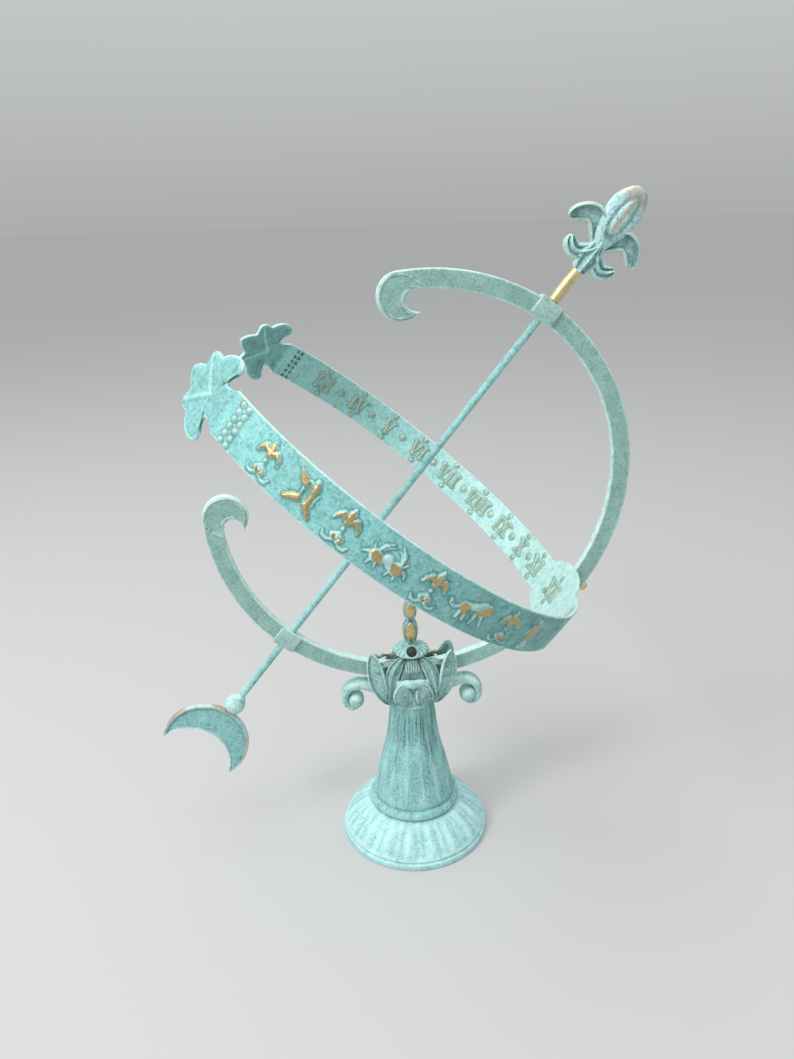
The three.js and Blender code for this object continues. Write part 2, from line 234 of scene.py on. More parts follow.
def leaf(spine, facing, thickness, hollow=0.0, sides=44, cup=0.0, rim=0.0, edge=0.45, inset=0.35, vein=0.25,
         well=0.66):
    """A cast leaf. spine rows are x, y, z, half width. facing is the way its front looks.

    hollow sinks the front inside a raised border, cup bends the sides forward, rim and edge are
    how worn and how pale the border is painted, inset darkens the sunk part, vein raises its middle and
    well is where it begins, as a share of the half width.
    """
    spine = np.asarray(spine, float)
    path, half = spine[:, :3], spine[:, 3]
    facing = np.asarray(facing, float)
    turn = np.linspace(0, 2 * math.pi, sides, endpoint=False)
    a, s = np.cos(turn), np.sin(turn)
    rings, worn, shade, pale = [], [], [], []
    length = len(path) - 1
    for i, (here, way, w) in enumerate(zip(path, directions(path), half)):
        front = unit(facing - way * (facing @ way))
        side = np.cross(way, front)
        share = min(1.0, w / (0.6 * half.max()))
        thick = thickness * min(1.0, 0.25 + w / (0.6 * half.max()))
        lift = thick * np.sign(s) * np.abs(s) ** 0.6 / 2
        inside = (1 - smooth(well - 0.1, well + 0.1, np.abs(a))) * (s > 0) * share
        ridge = np.exp(-((a / 0.16) ** 2)) * (s > 0) * share
        z = lift + hollow * thick * (vein * ridge - 0.5 * inside) + cup * w * a**2
        rings.append(here + np.outer(a * w, side) + np.outer(z, front))
        border = np.clip(smooth(0.70, 0.92, np.abs(a)) + smooth(0.95, 1.0, i / length), 0, 1) * (s > -0.6)
        worn.append(border * rim)
        pale.append(border * edge)
        groove = np.exp(-(((np.abs(a) - well - 0.06) / 0.09) ** 2)) * (s > 0) * share
        dark = np.clip(0.9 * groove + inset * inside, 0, 1) * (hollow > 0)
        shade.append(np.clip(dark + 0.5 * (s < -0.2), 0, 1))
    points, faces = loft(rings)
    return points, faces, {"worn": np.ravel(worn), "shade": np.ravel(shade), "pale": np.ravel(pale)}


def ribbon(left, right, thickness, edge, place, across, relief):
    """A flat bar between two outlines, with rounded edges and relief on both faces.

    place(x, y, height) puts the flat bar into the row frame. relief(x, y, side) gives
    (height, worn, shade, pale) on the front (side 1) or the back (side -1).
    """
    left, right = np.asarray(left, float), np.asarray(right, float)
    width = np.linalg.norm(right - left, axis=1)
    corner = np.minimum(edge, 0.45 * width)
    rounds = np.radians([0, 30, 60, 90])
    inset = corner[:, None] * (1 - np.cos(rounds))
    height = thickness / 2 - corner[:, None] * (1 - np.sin(rounds))
    middle = np.linspace(0, 1, across + 2)[1:-1]
    span = (width - 2 * corner)[:, None]
    offsets = np.hstack([inset, corner[:, None] + span * middle, width[:, None] - inset[:, ::-1]])
    heights = np.hstack([height, np.full((len(width), across), thickness / 2), height[:, ::-1]])
    share = offsets / np.maximum(width, 1e-6)[:, None]
    flat = left[:, None] + (right - left)[:, None] * share[..., None]
    x, y = flat[..., 0], flat[..., 1]
    rim = 1 - smooth(0.5, 1.6, np.minimum(offsets, width[:, None] - offsets) / max(edge, 0.1))
    sheets, looks = [], []
    for side in (1, -1):
        lift, gold, dark, light = relief(x, y, side)
        sheets.append(place(x, y, side * (heights + lift))[:, ::side])
        looks.append([look[:, ::side] for look in (gold, dark, np.maximum(rim, light))])
    points, faces = loft(np.concatenate(sheets, 1))
    worn, shade, pale = (np.concatenate(pair, 1).ravel() for pair in zip(*looks))
    return points, faces, {"worn": worn, "shade": shade, "pale": pale}


# ---------------------------------------------------------------- materials


def new_material(name):
    made = bpy.data.materials.new(name)
    made.use_nodes = True
    return made, made.node_tree, made.node_tree.nodes["Principled BSDF"]


def noise(tree, scale, detail, rough, squash=None):
    """A noise texture in object space, features about 1/scale metres across."""
    where = tree.nodes.new("ShaderNodeTexCoord")
    made = tree.nodes.new("ShaderNodeTexNoise")
    made.inputs["Scale"].default_value = scale
    made.inputs["Detail"].default_value = detail
    made.inputs["Roughness"].default_value = rough
    source = where.outputs["Object"]
    if squash:
        mapping = tree.nodes.new("ShaderNodeMapping")
        mapping.inputs["Scale"].default_value = squash
        tree.links.new(source, mapping.inputs["Vector"])
        source = mapping.outputs["Vector"]
    tree.links.new(source, made.inputs["Vector"])
    return made.outputs["Fac"]


def ramp(tree, value, stops):
    made = tree.nodes.new("ShaderNodeValToRGB")
    elements = made.color_ramp.elements
    while len(elements) < len(stops):
        elements.new(0.5)
    for element, (place, colour) in zip(elements, stops):
        element.position = place
        element.color = colour if len(colour) == 4 else (*colour, 1)
    tree.links.new(value, made.inputs["Fac"])
    return made.outputs["Color"]


def grey(level):
    return (level, level, level, 1)


def greys(tree, value, *stops):
    """A ramp of greys from (place, level) stops."""
    return ramp(tree, value, [(place, grey(level)) for place, level in stops])


def feed(tree, socket, value):
    """Links an output to a socket, or sets the socket's own number or colour."""
    if hasattr(value, "links"):
        tree.links.new(value, socket)
    elif isinstance(value, (int, float)) or len(value) == 4:
        socket.default_value = value
    else:
        socket.default_value = (*value, 1)


def blend(tree, factor, first, second, mode="MIX"):
    made = tree.nodes.new("ShaderNodeMix")
    made.data_type = "RGBA"
    made.blend_type = mode
    feed(tree, made.inputs["Factor"], factor)
    feed(tree, made.inputs[6], first)
    feed(tree, made.inputs[7], second)
    return made.outputs[2]


def maths(tree, kind, first, second):
    made = tree.nodes.new("ShaderNodeMath")
    made.operation = kind
    made.use_clamp = True
    feed(tree, made.inputs[0], first)
    feed(tree, made.inputs[1], second)
    return made.outputs[0]


def attribute(tree, name):
    made = tree.nodes.new("ShaderNodeAttribute")
    made.attribute_name = name
    return made.outputs["Fac"]


def colour(code):
    """Linear colour from a #rrggbb code."""
    parts = [int(code[i : i + 2], 16) / 255 for i in (1, 3, 5)]
    return tuple(c / 12.92 if c < 0.04045 else ((c + 0.055) / 1.055) ** 2.4 for c in parts)


def bumped(tree, heights, base):
    """Chained bump nodes from (value, strength, distance in metres)."""
    normal = None
    for value, strength, distance in heights:
        made = tree.nodes.new("ShaderNodeBump")
        made.inputs["Strength"].default_value = strength
        made.inputs["Distance"].default_value = distance
        tree.links.new(value, made.inputs["Height"])
        if normal:
            tree.links.new(normal, made.inputs["Normal"])
        normal = made.outputs["Normal"]
    tree.links.new(normal, base.inputs["Normal"])


BRONZE, BRONZE_DARK = "#d9bd85", "#94774a"
# Dark colours for hollows and painted shade, a colour for chalky speckles, and a pale colour for edges and
# painted light.
HOLLOW_AND_SHADE, HOLLOW_AND_SHADE_GREEN = "#27403f", "#2c4c3c"
CHALK, PALE_AND_PAINTED_LIGHT = colour("#d3f4ee"), colour("#d3efe8")


def verdigris(name, mid, light, dark, speckle=0.5, streaks=None, grain=0.5, bronze=BRONZE,
              rub=0.5, deep=HOLLOW_AND_SHADE, polish=0.36):
    """Cast bronze under verdigris: cloudy colour, dark hollows and painted shade, pale edges and painted
    light, and rubbed gold.
    """
    made, tree, base = new_material(name)
    cloud = noise(tree, 34, 5, 0.62)
    patch = noise(tree, 150, 6, 0.65, streaks)
    stipple = noise(tree, 520, 3, 0.6)
    fine = noise(tree, 1300, 4, 0.7)
    body = ramp(tree, patch, [(0.30, colour(dark)), (0.46, colour(mid)), (0.72, colour(light))])
    body = blend(tree, 0.45, body, colour(mid))
    wash = greys(tree, cloud, (0.3, 0.84), (0.55, 1.0), (0.75, 1.06))
    body = blend(tree, 1.0, body, wash, "MULTIPLY")
    dots = greys(tree, stipple, (0.34, 1 - 0.75 * speckle), (0.47, 1.0), (0.7, 1.0))
    body = blend(tree, 1.0, body, dots, "MULTIPLY")
    chalk_and_painted_light = greys(tree, stipple, (0.55, 0), (0.70, 0.7 * speckle))
    body = blend(tree, chalk_and_painted_light, body, CHALK)

    shape = tree.nodes.new("ShaderNodeNewGeometry").outputs["Pointiness"]
    hollow = greys(tree, shape, (0.40, 0.75), (0.49, 0))
    shade = attribute(tree, "shade")
    ragged = greys(tree, patch, (0.25, 1), (0.75, 0.45))
    # Dark hollows and the shade layer, which holds painted shade, are mixed towards the deep colour.
    hollow_and_shade = maths(tree, "MAXIMUM", hollow, maths(tree, "MULTIPLY", shade, ragged))
    body = blend(tree, hollow_and_shade, body, colour(deep))

    # Pale crests and the pale layer, which holds painted light, are mixed towards one pale colour.
    crest = greys(tree, shape, (0.515, 0), (0.60, 0.75))
    pale = maths(tree, "MAXIMUM", crest, attribute(tree, "pale"))
    broken = greys(tree, patch, (0.3, 0.35), (0.6, 0.9))
    pale = maths(tree, "MULTIPLY", pale, broken)
    body = blend(tree, pale, body, PALE_AND_PAINTED_LIGHT)

    worn = attribute(tree, "worn")
    edge = noise(tree, 420, 4, 0.6)
    kept = greys(tree, edge, (0.30, 0.2), (0.30 + 0.35 * rub, 1))
    gold = maths(tree, "MULTIPLY", worn, kept)
    metal = ramp(tree, fine, [(0.3, colour(BRONZE_DARK)), (0.6, colour(bronze))])
    body = blend(tree, gold, body, metal)

    tree.links.new(body, base.inputs["Base Color"])
    tree.links.new(maths(tree, "MULTIPLY", gold, 0.9), base.inputs["Metallic"])
    rough = greys(tree, fine, (0.3, 0.78), (0.7, 0.58))
    rough = blend(tree, gold, rough, grey(polish))
    tree.links.new(rough, base.inputs["Roughness"])
    base.inputs["Specular IOR Level"].default_value = 0.35
    bumped(tree, [(patch, 0.2, 0.0012), (stipple, 0.25 + 0.45 * grain, 0.0007), (fine, 0.3, 0.0003)], base)
    return made


def bare_metal(name, light, dark, roughness, drawn=(1, 1, 1), metallic=1.0, wear=0.3):
    """Bare metal with tarnish clouds, fine drawn lines and a varying polish."""
    made, tree, base = new_material(name)
    cloud = noise(tree, 120, 5, 0.6)
    lines = noise(tree, 900, 3, 0.5, drawn)
    body = ramp(tree, cloud, [(0.3, colour(dark)), (0.62, colour(light))])
    spots = greys(tree, noise(tree, 600, 4, 0.7), (0.3, 1 - wear), (0.45, 1))
    body = blend(tree, 1.0, body, spots, "MULTIPLY")
    tree.links.new(body, base.inputs["Base Color"])
    base.inputs["Metallic"].default_value = metallic
    rough = greys(tree, lines, (0.3, roughness * 0.75), (0.7, min(1, roughness * 1.3)))
    tree.links.new(rough, base.inputs["Roughness"])
    bumped(tree, [(lines, 0.15, 0.0002)], base)
    return made


cast = verdigris("verdigris_cast", "#93cac8", "#bde6e5", "#68a09d", speckle=0.4)
ring_metal = verdigris("verdigris_ring", "#91bab3", "#b0d4cd", "#71998f", speckle=0.4, grain=0.6)
band_outer = verdigris("verdigris_band", "#86c8c6", "#acdfde", "#5a9a96", speckle=0.45, rub=0.30,
                       deep=HOLLOW_AND_SHADE_GREEN)
foot_metal = verdigris("verdigris_foot", "#b0e2e3", "#d0f6f7", "#86c2c3", speckle=0.4,
                       streaks=(1, 1, 0.35), grain=0.9)
bell_metal = verdigris("verdigris_bell", "#8bc5c3", "#b6e6e5", "#5b9593", streaks=(1, 1, 0.22), grain=1.0)
dark_cast = verdigris("verdigris_capital", "#9ccbc7", "#d0eeeb", "#5b8783", speckle=0.65)
tip_metal = verdigris("verdigris_tip", "#b0dedd", "#dcf5f4", "#5f9593", speckle=0.7, bronze="#e2cfc4")
moon_metal = verdigris("verdigris_moon", "#89c3c3", "#b4e0e2", "#4f8886", speckle=0.55,
                       bronze="#eadccb")
ball_metal = verdigris("verdigris_ball", "#b2dcdc", "#dcf3f4", "#7aaeae", speckle=0.5)
bud_metal = verdigris("verdigris_bud", "#8dc0be", "#bce2e0", "#3d6b69", bronze="#efd59a",
                      rub=0.02, polish=0.24)
brass = bare_metal("bare_brass", "#eee4b4", "#cbbd83", 0.46, (1, 1, 0.1), wear=0.1)
steel = bare_metal("plain_steel", "#8b8c89", "#5c5d5a", 0.45)
rubber = bare_metal("pad_rubber", "#232322", "#161615", 0.85, metallic=0.0)
hole_dark = bare_metal("dark_bronze", "#3a3f3c", "#1c211f", 0.55, metallic=0.4)


# ---------------------------------------------------------------- foot and column

FOOT_PANELS = 18
# Drips of patina: waves round the column, phase, and how fast they wander with height.
STREAKS = ((23, 0.4, 0.11), (37, 2.1, 0.17), (53, 4.0, 0.23), (71, 1.2, 0.31))
COLUMN_PANELS = 14


def fluted_foot():
    outside = [
        (71.8, 0), (72.5, 1.0), (72.5, 4.6), (71.9, 5.8), (70.6, 6.6), (70.2, 7.4), (70.6, 8.4),
        (69.6, 11), (67.8, 14), (65.0, 17.6), (61.6, 21.2), (57.4, 24.8), (53.2, 27.8), (49.2, 30.2),
        (46.0, 31.6), (44.4, 32.3), (43.6, 33.0), (41.2, 33.5),
    ]
    inside = [(3.4, 33.4), (3.4, 27.6), (35, 27.6), (44, 25), (53, 19.5), (61, 11), (66.4, 3.3), (66.6, 0)]
    rim = spline(outside[:8], 3)
    flare = spline(outside[7:], 4)
    profile = np.vstack([rim, flare[1:], inside])

    def scallops(angle, radius, height):
        outer = radius > 40
        wave = np.abs(np.cos(angle * FOOT_PANELS / 2))
        dip = (1 - wave**5) * smooth(8.2, 12.5, height) * (1 - 0.75 * smooth(26, 32, height))
        drop = 1.5 * dip * outer
        ridge = bump(wave, 1.0, 0.06) * smooth(8, 11, height) * outer
        lip = bump(height, 8.2, 1.1) * (radius > 68)
        groove = bump(height, 7.2, 0.7) * (radius > 68) + smooth(31.4, 33.2, height) * outer
        pale = np.clip(0.30 * ridge + 0.8 * lip, 0, 1)
        shade = np.clip(0.45 * groove + 0.30 * dip * bump(wave, 0.55, 0.25), 0, 1)
        return radius - drop, height - 0.3 * drop, {"pale": pale, "shade": shade}

    made = turned(profile, 360, scallops, wrap=True)
    piece("foot_casting", made, foot_metal, "pedestal", ["foot_skirt"])


def bell_column():
    outside = [
        (41.0, 33.8), (43.2, 34.4), (43.9, 36.2), (43.8, 38.6), (42.6, 40.4), (40.6, 41.4), (39.4, 42.4),
        (39.6, 46), (38.2, 53), (36.3, 62), (33.8, 73.5), (31.8, 82), (29.8, 90), (27.6, 98), (25.4, 108),
        (23.6, 120), (22.4, 131), (21.4, 140), (20.5, 146.7),
    ]
    inside = [(12, 146.7), (14, 115), (17, 97), (26, 73), (32, 55), (34, 34)]
    profile = np.vstack([spline(outside, 7), inside])

    def panels(angle, radius, height):
        outer = radius > np.interp(height, [34, 73, 141], [35, 29, 16])
        turn = angle * COLUMN_PANELS / 2 + 0.35
        wave = np.abs(np.cos(turn))
        body = smooth(42.5, 50, height) * (1 - 0.6 * smooth(128, 140, height))
        dip = (1 - wave**4) * body * outer
        ridge = bump(wave, 1.0, 0.05) * body * outer
        wobble = sum(np.sin(k * angle + p + 0.5 * np.sin(height * q)) for k, p, q in STREAKS) / 4
        drips = smooth(92, 112, height + 14 * np.sin(5 * angle) + 8 * np.sin(11 * angle + 1)) * outer
        streak = wobble * drips * (1 - 0.5 * smooth(134, 141, height))
        low = 1 - smooth(50, 100, height)
        lip = bump(height, 36.5, 2.4) * outer
        pale = (0.12 + 0.3 * low) * ridge + 0.35 * smooth(0.2, 0.7, streak) + 0.5 * lip
        shade = 0.6 * smooth(0.05, 0.6, -streak) + 0.22 * drips + 0.35 * bump(height, 42.8, 1.2) * outer
        layers = {"pale": np.clip(pale, 0, 1), "shade": np.clip(shade, 0, 1)}
        return radius - 0.7 * dip + 0.45 * streak, height, layers

    made = turned(profile, 336, panels, wrap=True)
    piece("column_casting", made, bell_metal, "pedestal", ["bell_column"])


# ---------------------------------------------------------------- capital

EYE_X, EYE_Z = 54.2, 149


def volute(side):
    """One side arm: it leaves the flower, arches over and curls in to a ball."""
    path = [
        (14, 0, 150), (24, 0, 156), (34, 0, 161.5), (43, 0, 165), (52, 0, 166.0), (59.5, 0, 163.6),
        (63.8, 0, 157.6), (64.6, 0, 150.4), (62.4, 0, 144.6), (57.8, 0, 141.6), (53, 0, 143.4),
        (52, 0, 147.4),
    ]
    path = spline(path, 7) * (side, 1, 1)
    turn = np.linspace(0, 2 * math.pi, 28, endpoint=False)

    def section(t):
        wide = np.interp(t, [0, 0.3, 0.6, 0.85, 1], [8.0, 7.4, 7.2, 6.4, 5.4])
        deep = np.interp(t, [0, 0.25, 0.5, 0.72, 0.9, 1], [7.0, 5.2, 4.2, 3.2, 2.6, 2.0])
        a, b = np.cos(turn), np.sin(turn)
        return wide * np.sign(a) * np.abs(a) ** 0.6, deep * np.sign(b) * np.abs(b) ** 0.8

    arm = along_path(path, section)
    points = arm[0]
    # Painted light: the upper faces of the arm are painted paler; its root by the flower is painted dark, as
    # painted shade.
    top = smooth(0.2, 0.9, (points[:, 2] - 148) / 22) * smooth(3.5, 6.2, np.abs(points[:, 1]))
    arm = (*arm, {"pale": 0.7 * top, "shade": 0.6 * bump(points[:, 2], 153, 5) * (np.abs(points[:, 0]) < 54)})
    eye_shape = [(0, -9.6), (4.2, -9.0), (7.0, -5.4), (7.7, 0), (7.0, 5.4), (4.2, 9.0), (0, 9.6)]
    eye = turned(spline(eye_shape, 6), 40)
    eye_points = np.stack([eye[0][:, 0], eye[0][:, 2], eye[0][:, 1]], -1) + (side * EYE_X, 0, EYE_Z)
    # Painted light: the ball is painted paler towards its top.
    ball = (eye_points, eye[1], {"pale": 0.8 * smooth(1, 6, eye_points[:, 2] - EYE_Z)})
    return merged(arm, ball)


# Leaf stations: x, y, z and half width, for the right-hand side of the far face.
UPRIGHT_PETAL = [
    (20, 11, 149, 3.0), (24, 13.5, 154, 5.0), (28.5, 15.0, 162, 6.6), (32, 15.2, 171, 8.0),
    (34, 14.2, 181, 8.4), (35.4, 12.6, 190, 7.4), (36.4, 11.2, 197, 5.2), (37, 10.4, 201.2, 2.6),
    (37.2, 10.2, 203, 0.5),
]
HANGING_PETAL = [
    (8.0, 9.0, 195, 1.6), (11.5, 12.0, 193, 4.4), (16.0, 14.4, 187, 6.4), (19.0, 15.8, 179, 6.4),
    (20.4, 17.0, 170, 5.4), (21.2, 17.4, 162, 4.4), (22, 15.8, 154, 2.6), (21, 14.2, 149.6, 0.6),
]
LEAF_TIP = [
    (6.6, 20.4, 173.0, 2.6), (8.4, 21.4, 170.6, 6.0), (9.8, 22.4, 166.0, 8.2), (10.4, 22.4, 161.2, 8.6),
    (10.4, 21.6, 156.6, 7.4), (10.2, 20.6, 153.6, 4.6), (10.0, 20.2, 152.4, 0.8),
]
SEPAL = [(12, 7.2, 186, 3.0), (18, 8.2, 190, 3.8), (24, 9.6, 190.5, 3.0), (29.5, 11, 187, 0.5)]
BIB = [
    (0, 12.5, 195.0, 5.2), (0, 15.0, 190.6, 6.6), (0, 17.4, 185, 8.6), (0, 19.2, 179.6, 11.0),
    (0, 20.0, 176, 12.0), (0, 20.2, 174.5, 11.0),
]
# The collar's rows are x, y and z only.
COLLAR = [(-15.5, 17.4, 173.2), (-8, 20.8, 175.0), (0, 22.0, 174.6), (8, 20.8, 175.0), (15.5, 17.4, 173.2)]


def placed(stations, side=1, face=1):
    """Leaf stations moved to one side, and to the front or the back."""
    return [(side * x, face * y, z, wide) for x, y, z, wide in stations]


def shortened(stations):
    """The petal at the far left, which is shorter and leans in."""
    base = stations[0][2]
    return [(x * 0.94, y, z - 0.22 * (z - base), wide * 0.9) for x, y, z, wide in stations]


def bib(face):
    """The plain middle leaf, darkened all over, with ribs at its neck made only of painted shade and painted
    highlight.
    """
    made = leaf(spline(placed(BIB, face=face), 7), (0, face, 0.2), 4.4, edge=0)
    neck = smooth(184, 188, made[0][:, 2])
    ribs = 0.5 + 0.5 * np.cos(2.6 * made[0][:, 0])
    made[2]["shade"] = np.clip(made[2]["shade"] + 0.85 + 0.4 * neck * ribs, 0, 1)
    made[2]["pale"] = 0.7 * neck * (1 - ribs) ** 2
    return made


def collar(face):
    """The swelling band between the bib and the two round leaf tips."""
    path = spline([(x, face * y, z) for x, y, z in COLLAR], 7)
    a, b = circle(1.0, 16)
    swell = np.sin(np.linspace(0.06, 1 - 0.06, len(path)) * math.pi) ** 0.4
    points, faces = loft([p + np.stack([0 * a, 3.4 * a * k, 4.6 * b * k], -1) for p, k in zip(path, swell)])
    return points, faces, {"pale": np.full(len(points), 0.5)}


def petals():
    """The flower: upright petals, hanging petals, a bib, a collar and round leaf tips, front and back."""
    parts = []
    for face in (-1, 1):
        for side in (-1, 1):
            upright = placed(UPRIGHT_PETAL, side, face)
            if face > 0 and side < 0:
                upright = shortened(upright)
            hanging = spline(placed(HANGING_PETAL, side, face), 7)
            tip = spline(placed(LEAF_TIP, side, face), 7)
            sepal = spline(placed(SEPAL, side, face), 6)
            out = side * 0.3
            parts += [
                leaf(spline(upright, 6), (out, face, 0.12), 5.0, hollow=0.9, cup=0.04, inset=0.3, vein=0),
                leaf(hanging, (out, face, 0.3), 5.0, hollow=0.9, inset=0.25, vein=1.0, well=0.72),
                leaf(tip, (side * 0.15, face, -0.1), 8.0, hollow=0.12, edge=0.35, inset=0.45, vein=0),
                leaf(sepal, (0, face, 0.8), 3.0, hollow=0.3, rim=0.9, vein=0.5),
            ]
        parts += [bib(face), collar(face)]
    return parts


def flower_core():
    core = [(0, 147.0), (20.4, 147.1), (20.9, 149), (20.8, 153), (20.6, 158), (20.4, 165), (19.0, 171.6)]
    core += [(17.0, 171.2), (16.6, 165), (0, 165)]
    lower = spline(core[:7], 5)
    profile = np.vstack([lower, core[7:]])

    def ribs(angle, radius, height):
        wave = np.cos(angle * 12)
        pull = smooth(147, 152, height) * (radius > 17.5)
        return radius + 0.5 * wave * pull, height, {"shade": 0.6 * smooth(0.2, 1, -wave) * pull}

    return turned(profile, 120, ribs)


def cradle(side):
    """The solid cheek beside the ring's slot, on each side of it."""
    shape = [(-19, 166), (-19, 180), (-13, 187), (13, 187), (19, 180), (19, 166)]
    outline = spline(shape, 5)
    rings = [np.stack([outline[:, 0] * k, np.full(len(outline), side * y), outline[:, 1] - (1 - k) * 6], -1)
             for y, k in ((4.6, 0.98), (5.0, 1.0), (12.0, 1.0), (15.0, 0.9))]
    points, faces = loft(rings)
    return points, faces, {"shade": np.full(len(points), 0.45)}


def leaf_capital():
    made = merged(flower_core(), cradle(-1), cradle(1), volute(-1), volute(1), *petals())
    piece("flower_capital", made, dark_cast, "pedestal", ["leaf_capital"])


RECESS_TILT, RECESS_Z = math.radians(28), 204.6
RECESS_RADIUS, RECESS_LIP, RECESS_FRONT, DOME_FRONT = 5.6, 1.1, -13.6, -14.2
CHEEK_Y, CHEEK_THICK = 5.9, 3.0


def on_recess(across, rise, out, front):
    """Points round the cup's screw recess: across it, up its leaning face and out of it."""
    y = front - out * math.cos(RECESS_TILT) + rise * math.sin(RECESS_TILT)
    z = RECESS_Z + out * math.sin(RECESS_TILT) + rise * math.cos(RECESS_TILT)
    return np.stack([across, y, z], -1)


def clamp_cup():
    outside = [
        (0, 189.0), (7.6, 189.0), (7.4, 191), (7.8, 193.2), (9.6, 194.8), (12.6, 196.0), (15.4, 198.4),
        (16.7, 199.6), (16.3, 201.6), (14.8, 203.2), (12.4, 204.2), (9.6, 204.8), (6.4, 205.2), (3, 205.4),
        (0, 205.4),
    ]
    profile = np.vstack([outside[:2], spline(outside[1:-1], 5), outside[-1:]])

    def ribs(angle, radius, height):
        wave = np.cos(angle * 20)
        waist = smooth(192, 195, height) * (radius > 7)
        # Painted light and shade: the lip is painted pale only on its side towards the viewer, and the stem
        # under the bowl is painted dark.
        front = np.exp(4 * (-np.sin(angle) - 1))
        shade = 0.7 * smooth(0, 1, -wave) * waist + 0.9 * (1 - smooth(192.5, 196, height))
        lip = front * bump(height, 199.0, 2.0) * (radius > 13)
        layers = {"shade": shade * (1 - lip), "pale": 0.9 * lip}
        return radius + 0.8 * wave * waist * (1 - front), height, layers

    bowl = turned(profile, 160, ribs)
    a, b = circle(RECESS_LIP, 12)
    rings = []
    for turn in np.linspace(0, 2 * math.pi, 33)[:-1]:
        out = RECESS_RADIUS + a
        rings.append(on_recess(out * math.cos(turn), out * math.sin(turn), b, RECESS_FRONT))
    points, faces = loft(rings, wrap=True)
    # Painted light on the lower lip round the screw recess, and painted shade on its upper part.
    low = 1 - smooth(201, 207, points[:, 2])
    collar = (points, faces, {"pale": 0.9 * low, "shade": 0.5 * (1 - low)})
    cheeks = []
    for side in (-1, 1):
        stations = ((158, 6.0), (165, 6.5), (180, 6.5), (190, 6.5))
        spine = [(0, side * CHEEK_Y, z, wide) for z, wide in stations]
        cheeks.append(leaf(spline(spine, 4), (0, side, 0), CHEEK_THICK))
    made = merged(bowl, collar, *cheeks)
    piece("ribbed_cup", made, dark_cast, "pedestal", ["clamp_cup"])
    dome_shape = spline([(0, 3.4), (2.0, 3.1), (3.9, 1.8), (4.9, 0), (5.0, -1.5), (0, -1.5)], 4)
    dome, faces, _ = turned(dome_shape, 40)
    points = on_recess(dome[:, 0], dome[:, 1], dome[:, 2], DOME_FRONT)
    piece("cup_recess", (points, faces), hole_dark, "pedestal")


# Facet rows of the finial: height of the middle, half height, and half width in radians.
FACET_ROWS = ((220.5, 12.0, 0.72), (243.0, 8.6, 0.74))


def finial_bud():
    outside = [
        (0, 205.0), (6.4, 205.0), (6.0, 207.4), (5.8, 210.0), (6.4, 213.4), (7.4, 218), (7.6, 222),
        (6.6, 227.5), (5.0, 231.2), (4.9, 233), (5.8, 236), (6.7, 240), (6.5, 244.5), (5.0, 249.4),
        (3.3, 253), (3.0, 255), (3.7, 257.4), (3.3, 259.8), (1.6, 262.6), (0, 264),
    ]
    profile = np.vstack([[(0, 205.0)], spline(outside[1:], 6)])

    def facets(angle, radius, height):
        gold = 0 * angle
        dark = 0 * angle
        for middle, half, reach in FACET_ROWS:
            round_angle = (angle + math.pi / 4) % (math.pi / 2) - math.pi / 4
            far = np.hypot((height - middle) / half, round_angle / reach)
            gold = np.maximum(gold, 1 - smooth(0.75, 0.92, far))
            dark = np.maximum(dark, bump(far, 1.02, 0.12))
        inside = radius > 2
        return radius - 0.55 * dark * inside, height, {"worn": gold, "shade": 0.9 * dark}

    stud = turned([(0, 189), (2.8, 189), (2.8, 205.6), (0, 205.6)], 32)
    made = merged(turned(profile, 120, facets), stud)
    piece("finial_casting", made, bud_metal, "finial_bud", ["finial"])


# ---------------------------------------------------------------- meridian ring


def ring_point(inset, degrees):
    """Points of the oval's outer edge, or of the edge that lies inset further in."""
    across = RING_SHORT - inset
    along = across * RING_LONG / RING_SHORT
    a = np.radians(degrees)
    reach = along * across / np.hypot(across * np.cos(a - RING_AXIS), along * np.sin(a - RING_AXIS))
    return np.stack([RING_X + reach * np.cos(a), RING_Z + reach * np.sin(a)], -1)


def upright(x, z, height):
    """Puts a flat X-Z outline into the row frame, with height towards the viewer."""
    return np.stack([x, -height, z], -1)


def crook(centre, notch, sweep, notch_sweep):
    """Outer and inner edge of one hook, both starting at its point."""
    outer = arc(*centre, HOOK_RADIUS, *sweep, 60)
    inner = np.vstack([outer[:1], arc(*notch, HOOK_NOTCH, *notch_sweep, 30)])
    return resampled(outer, 90), resampled(inner, 90)


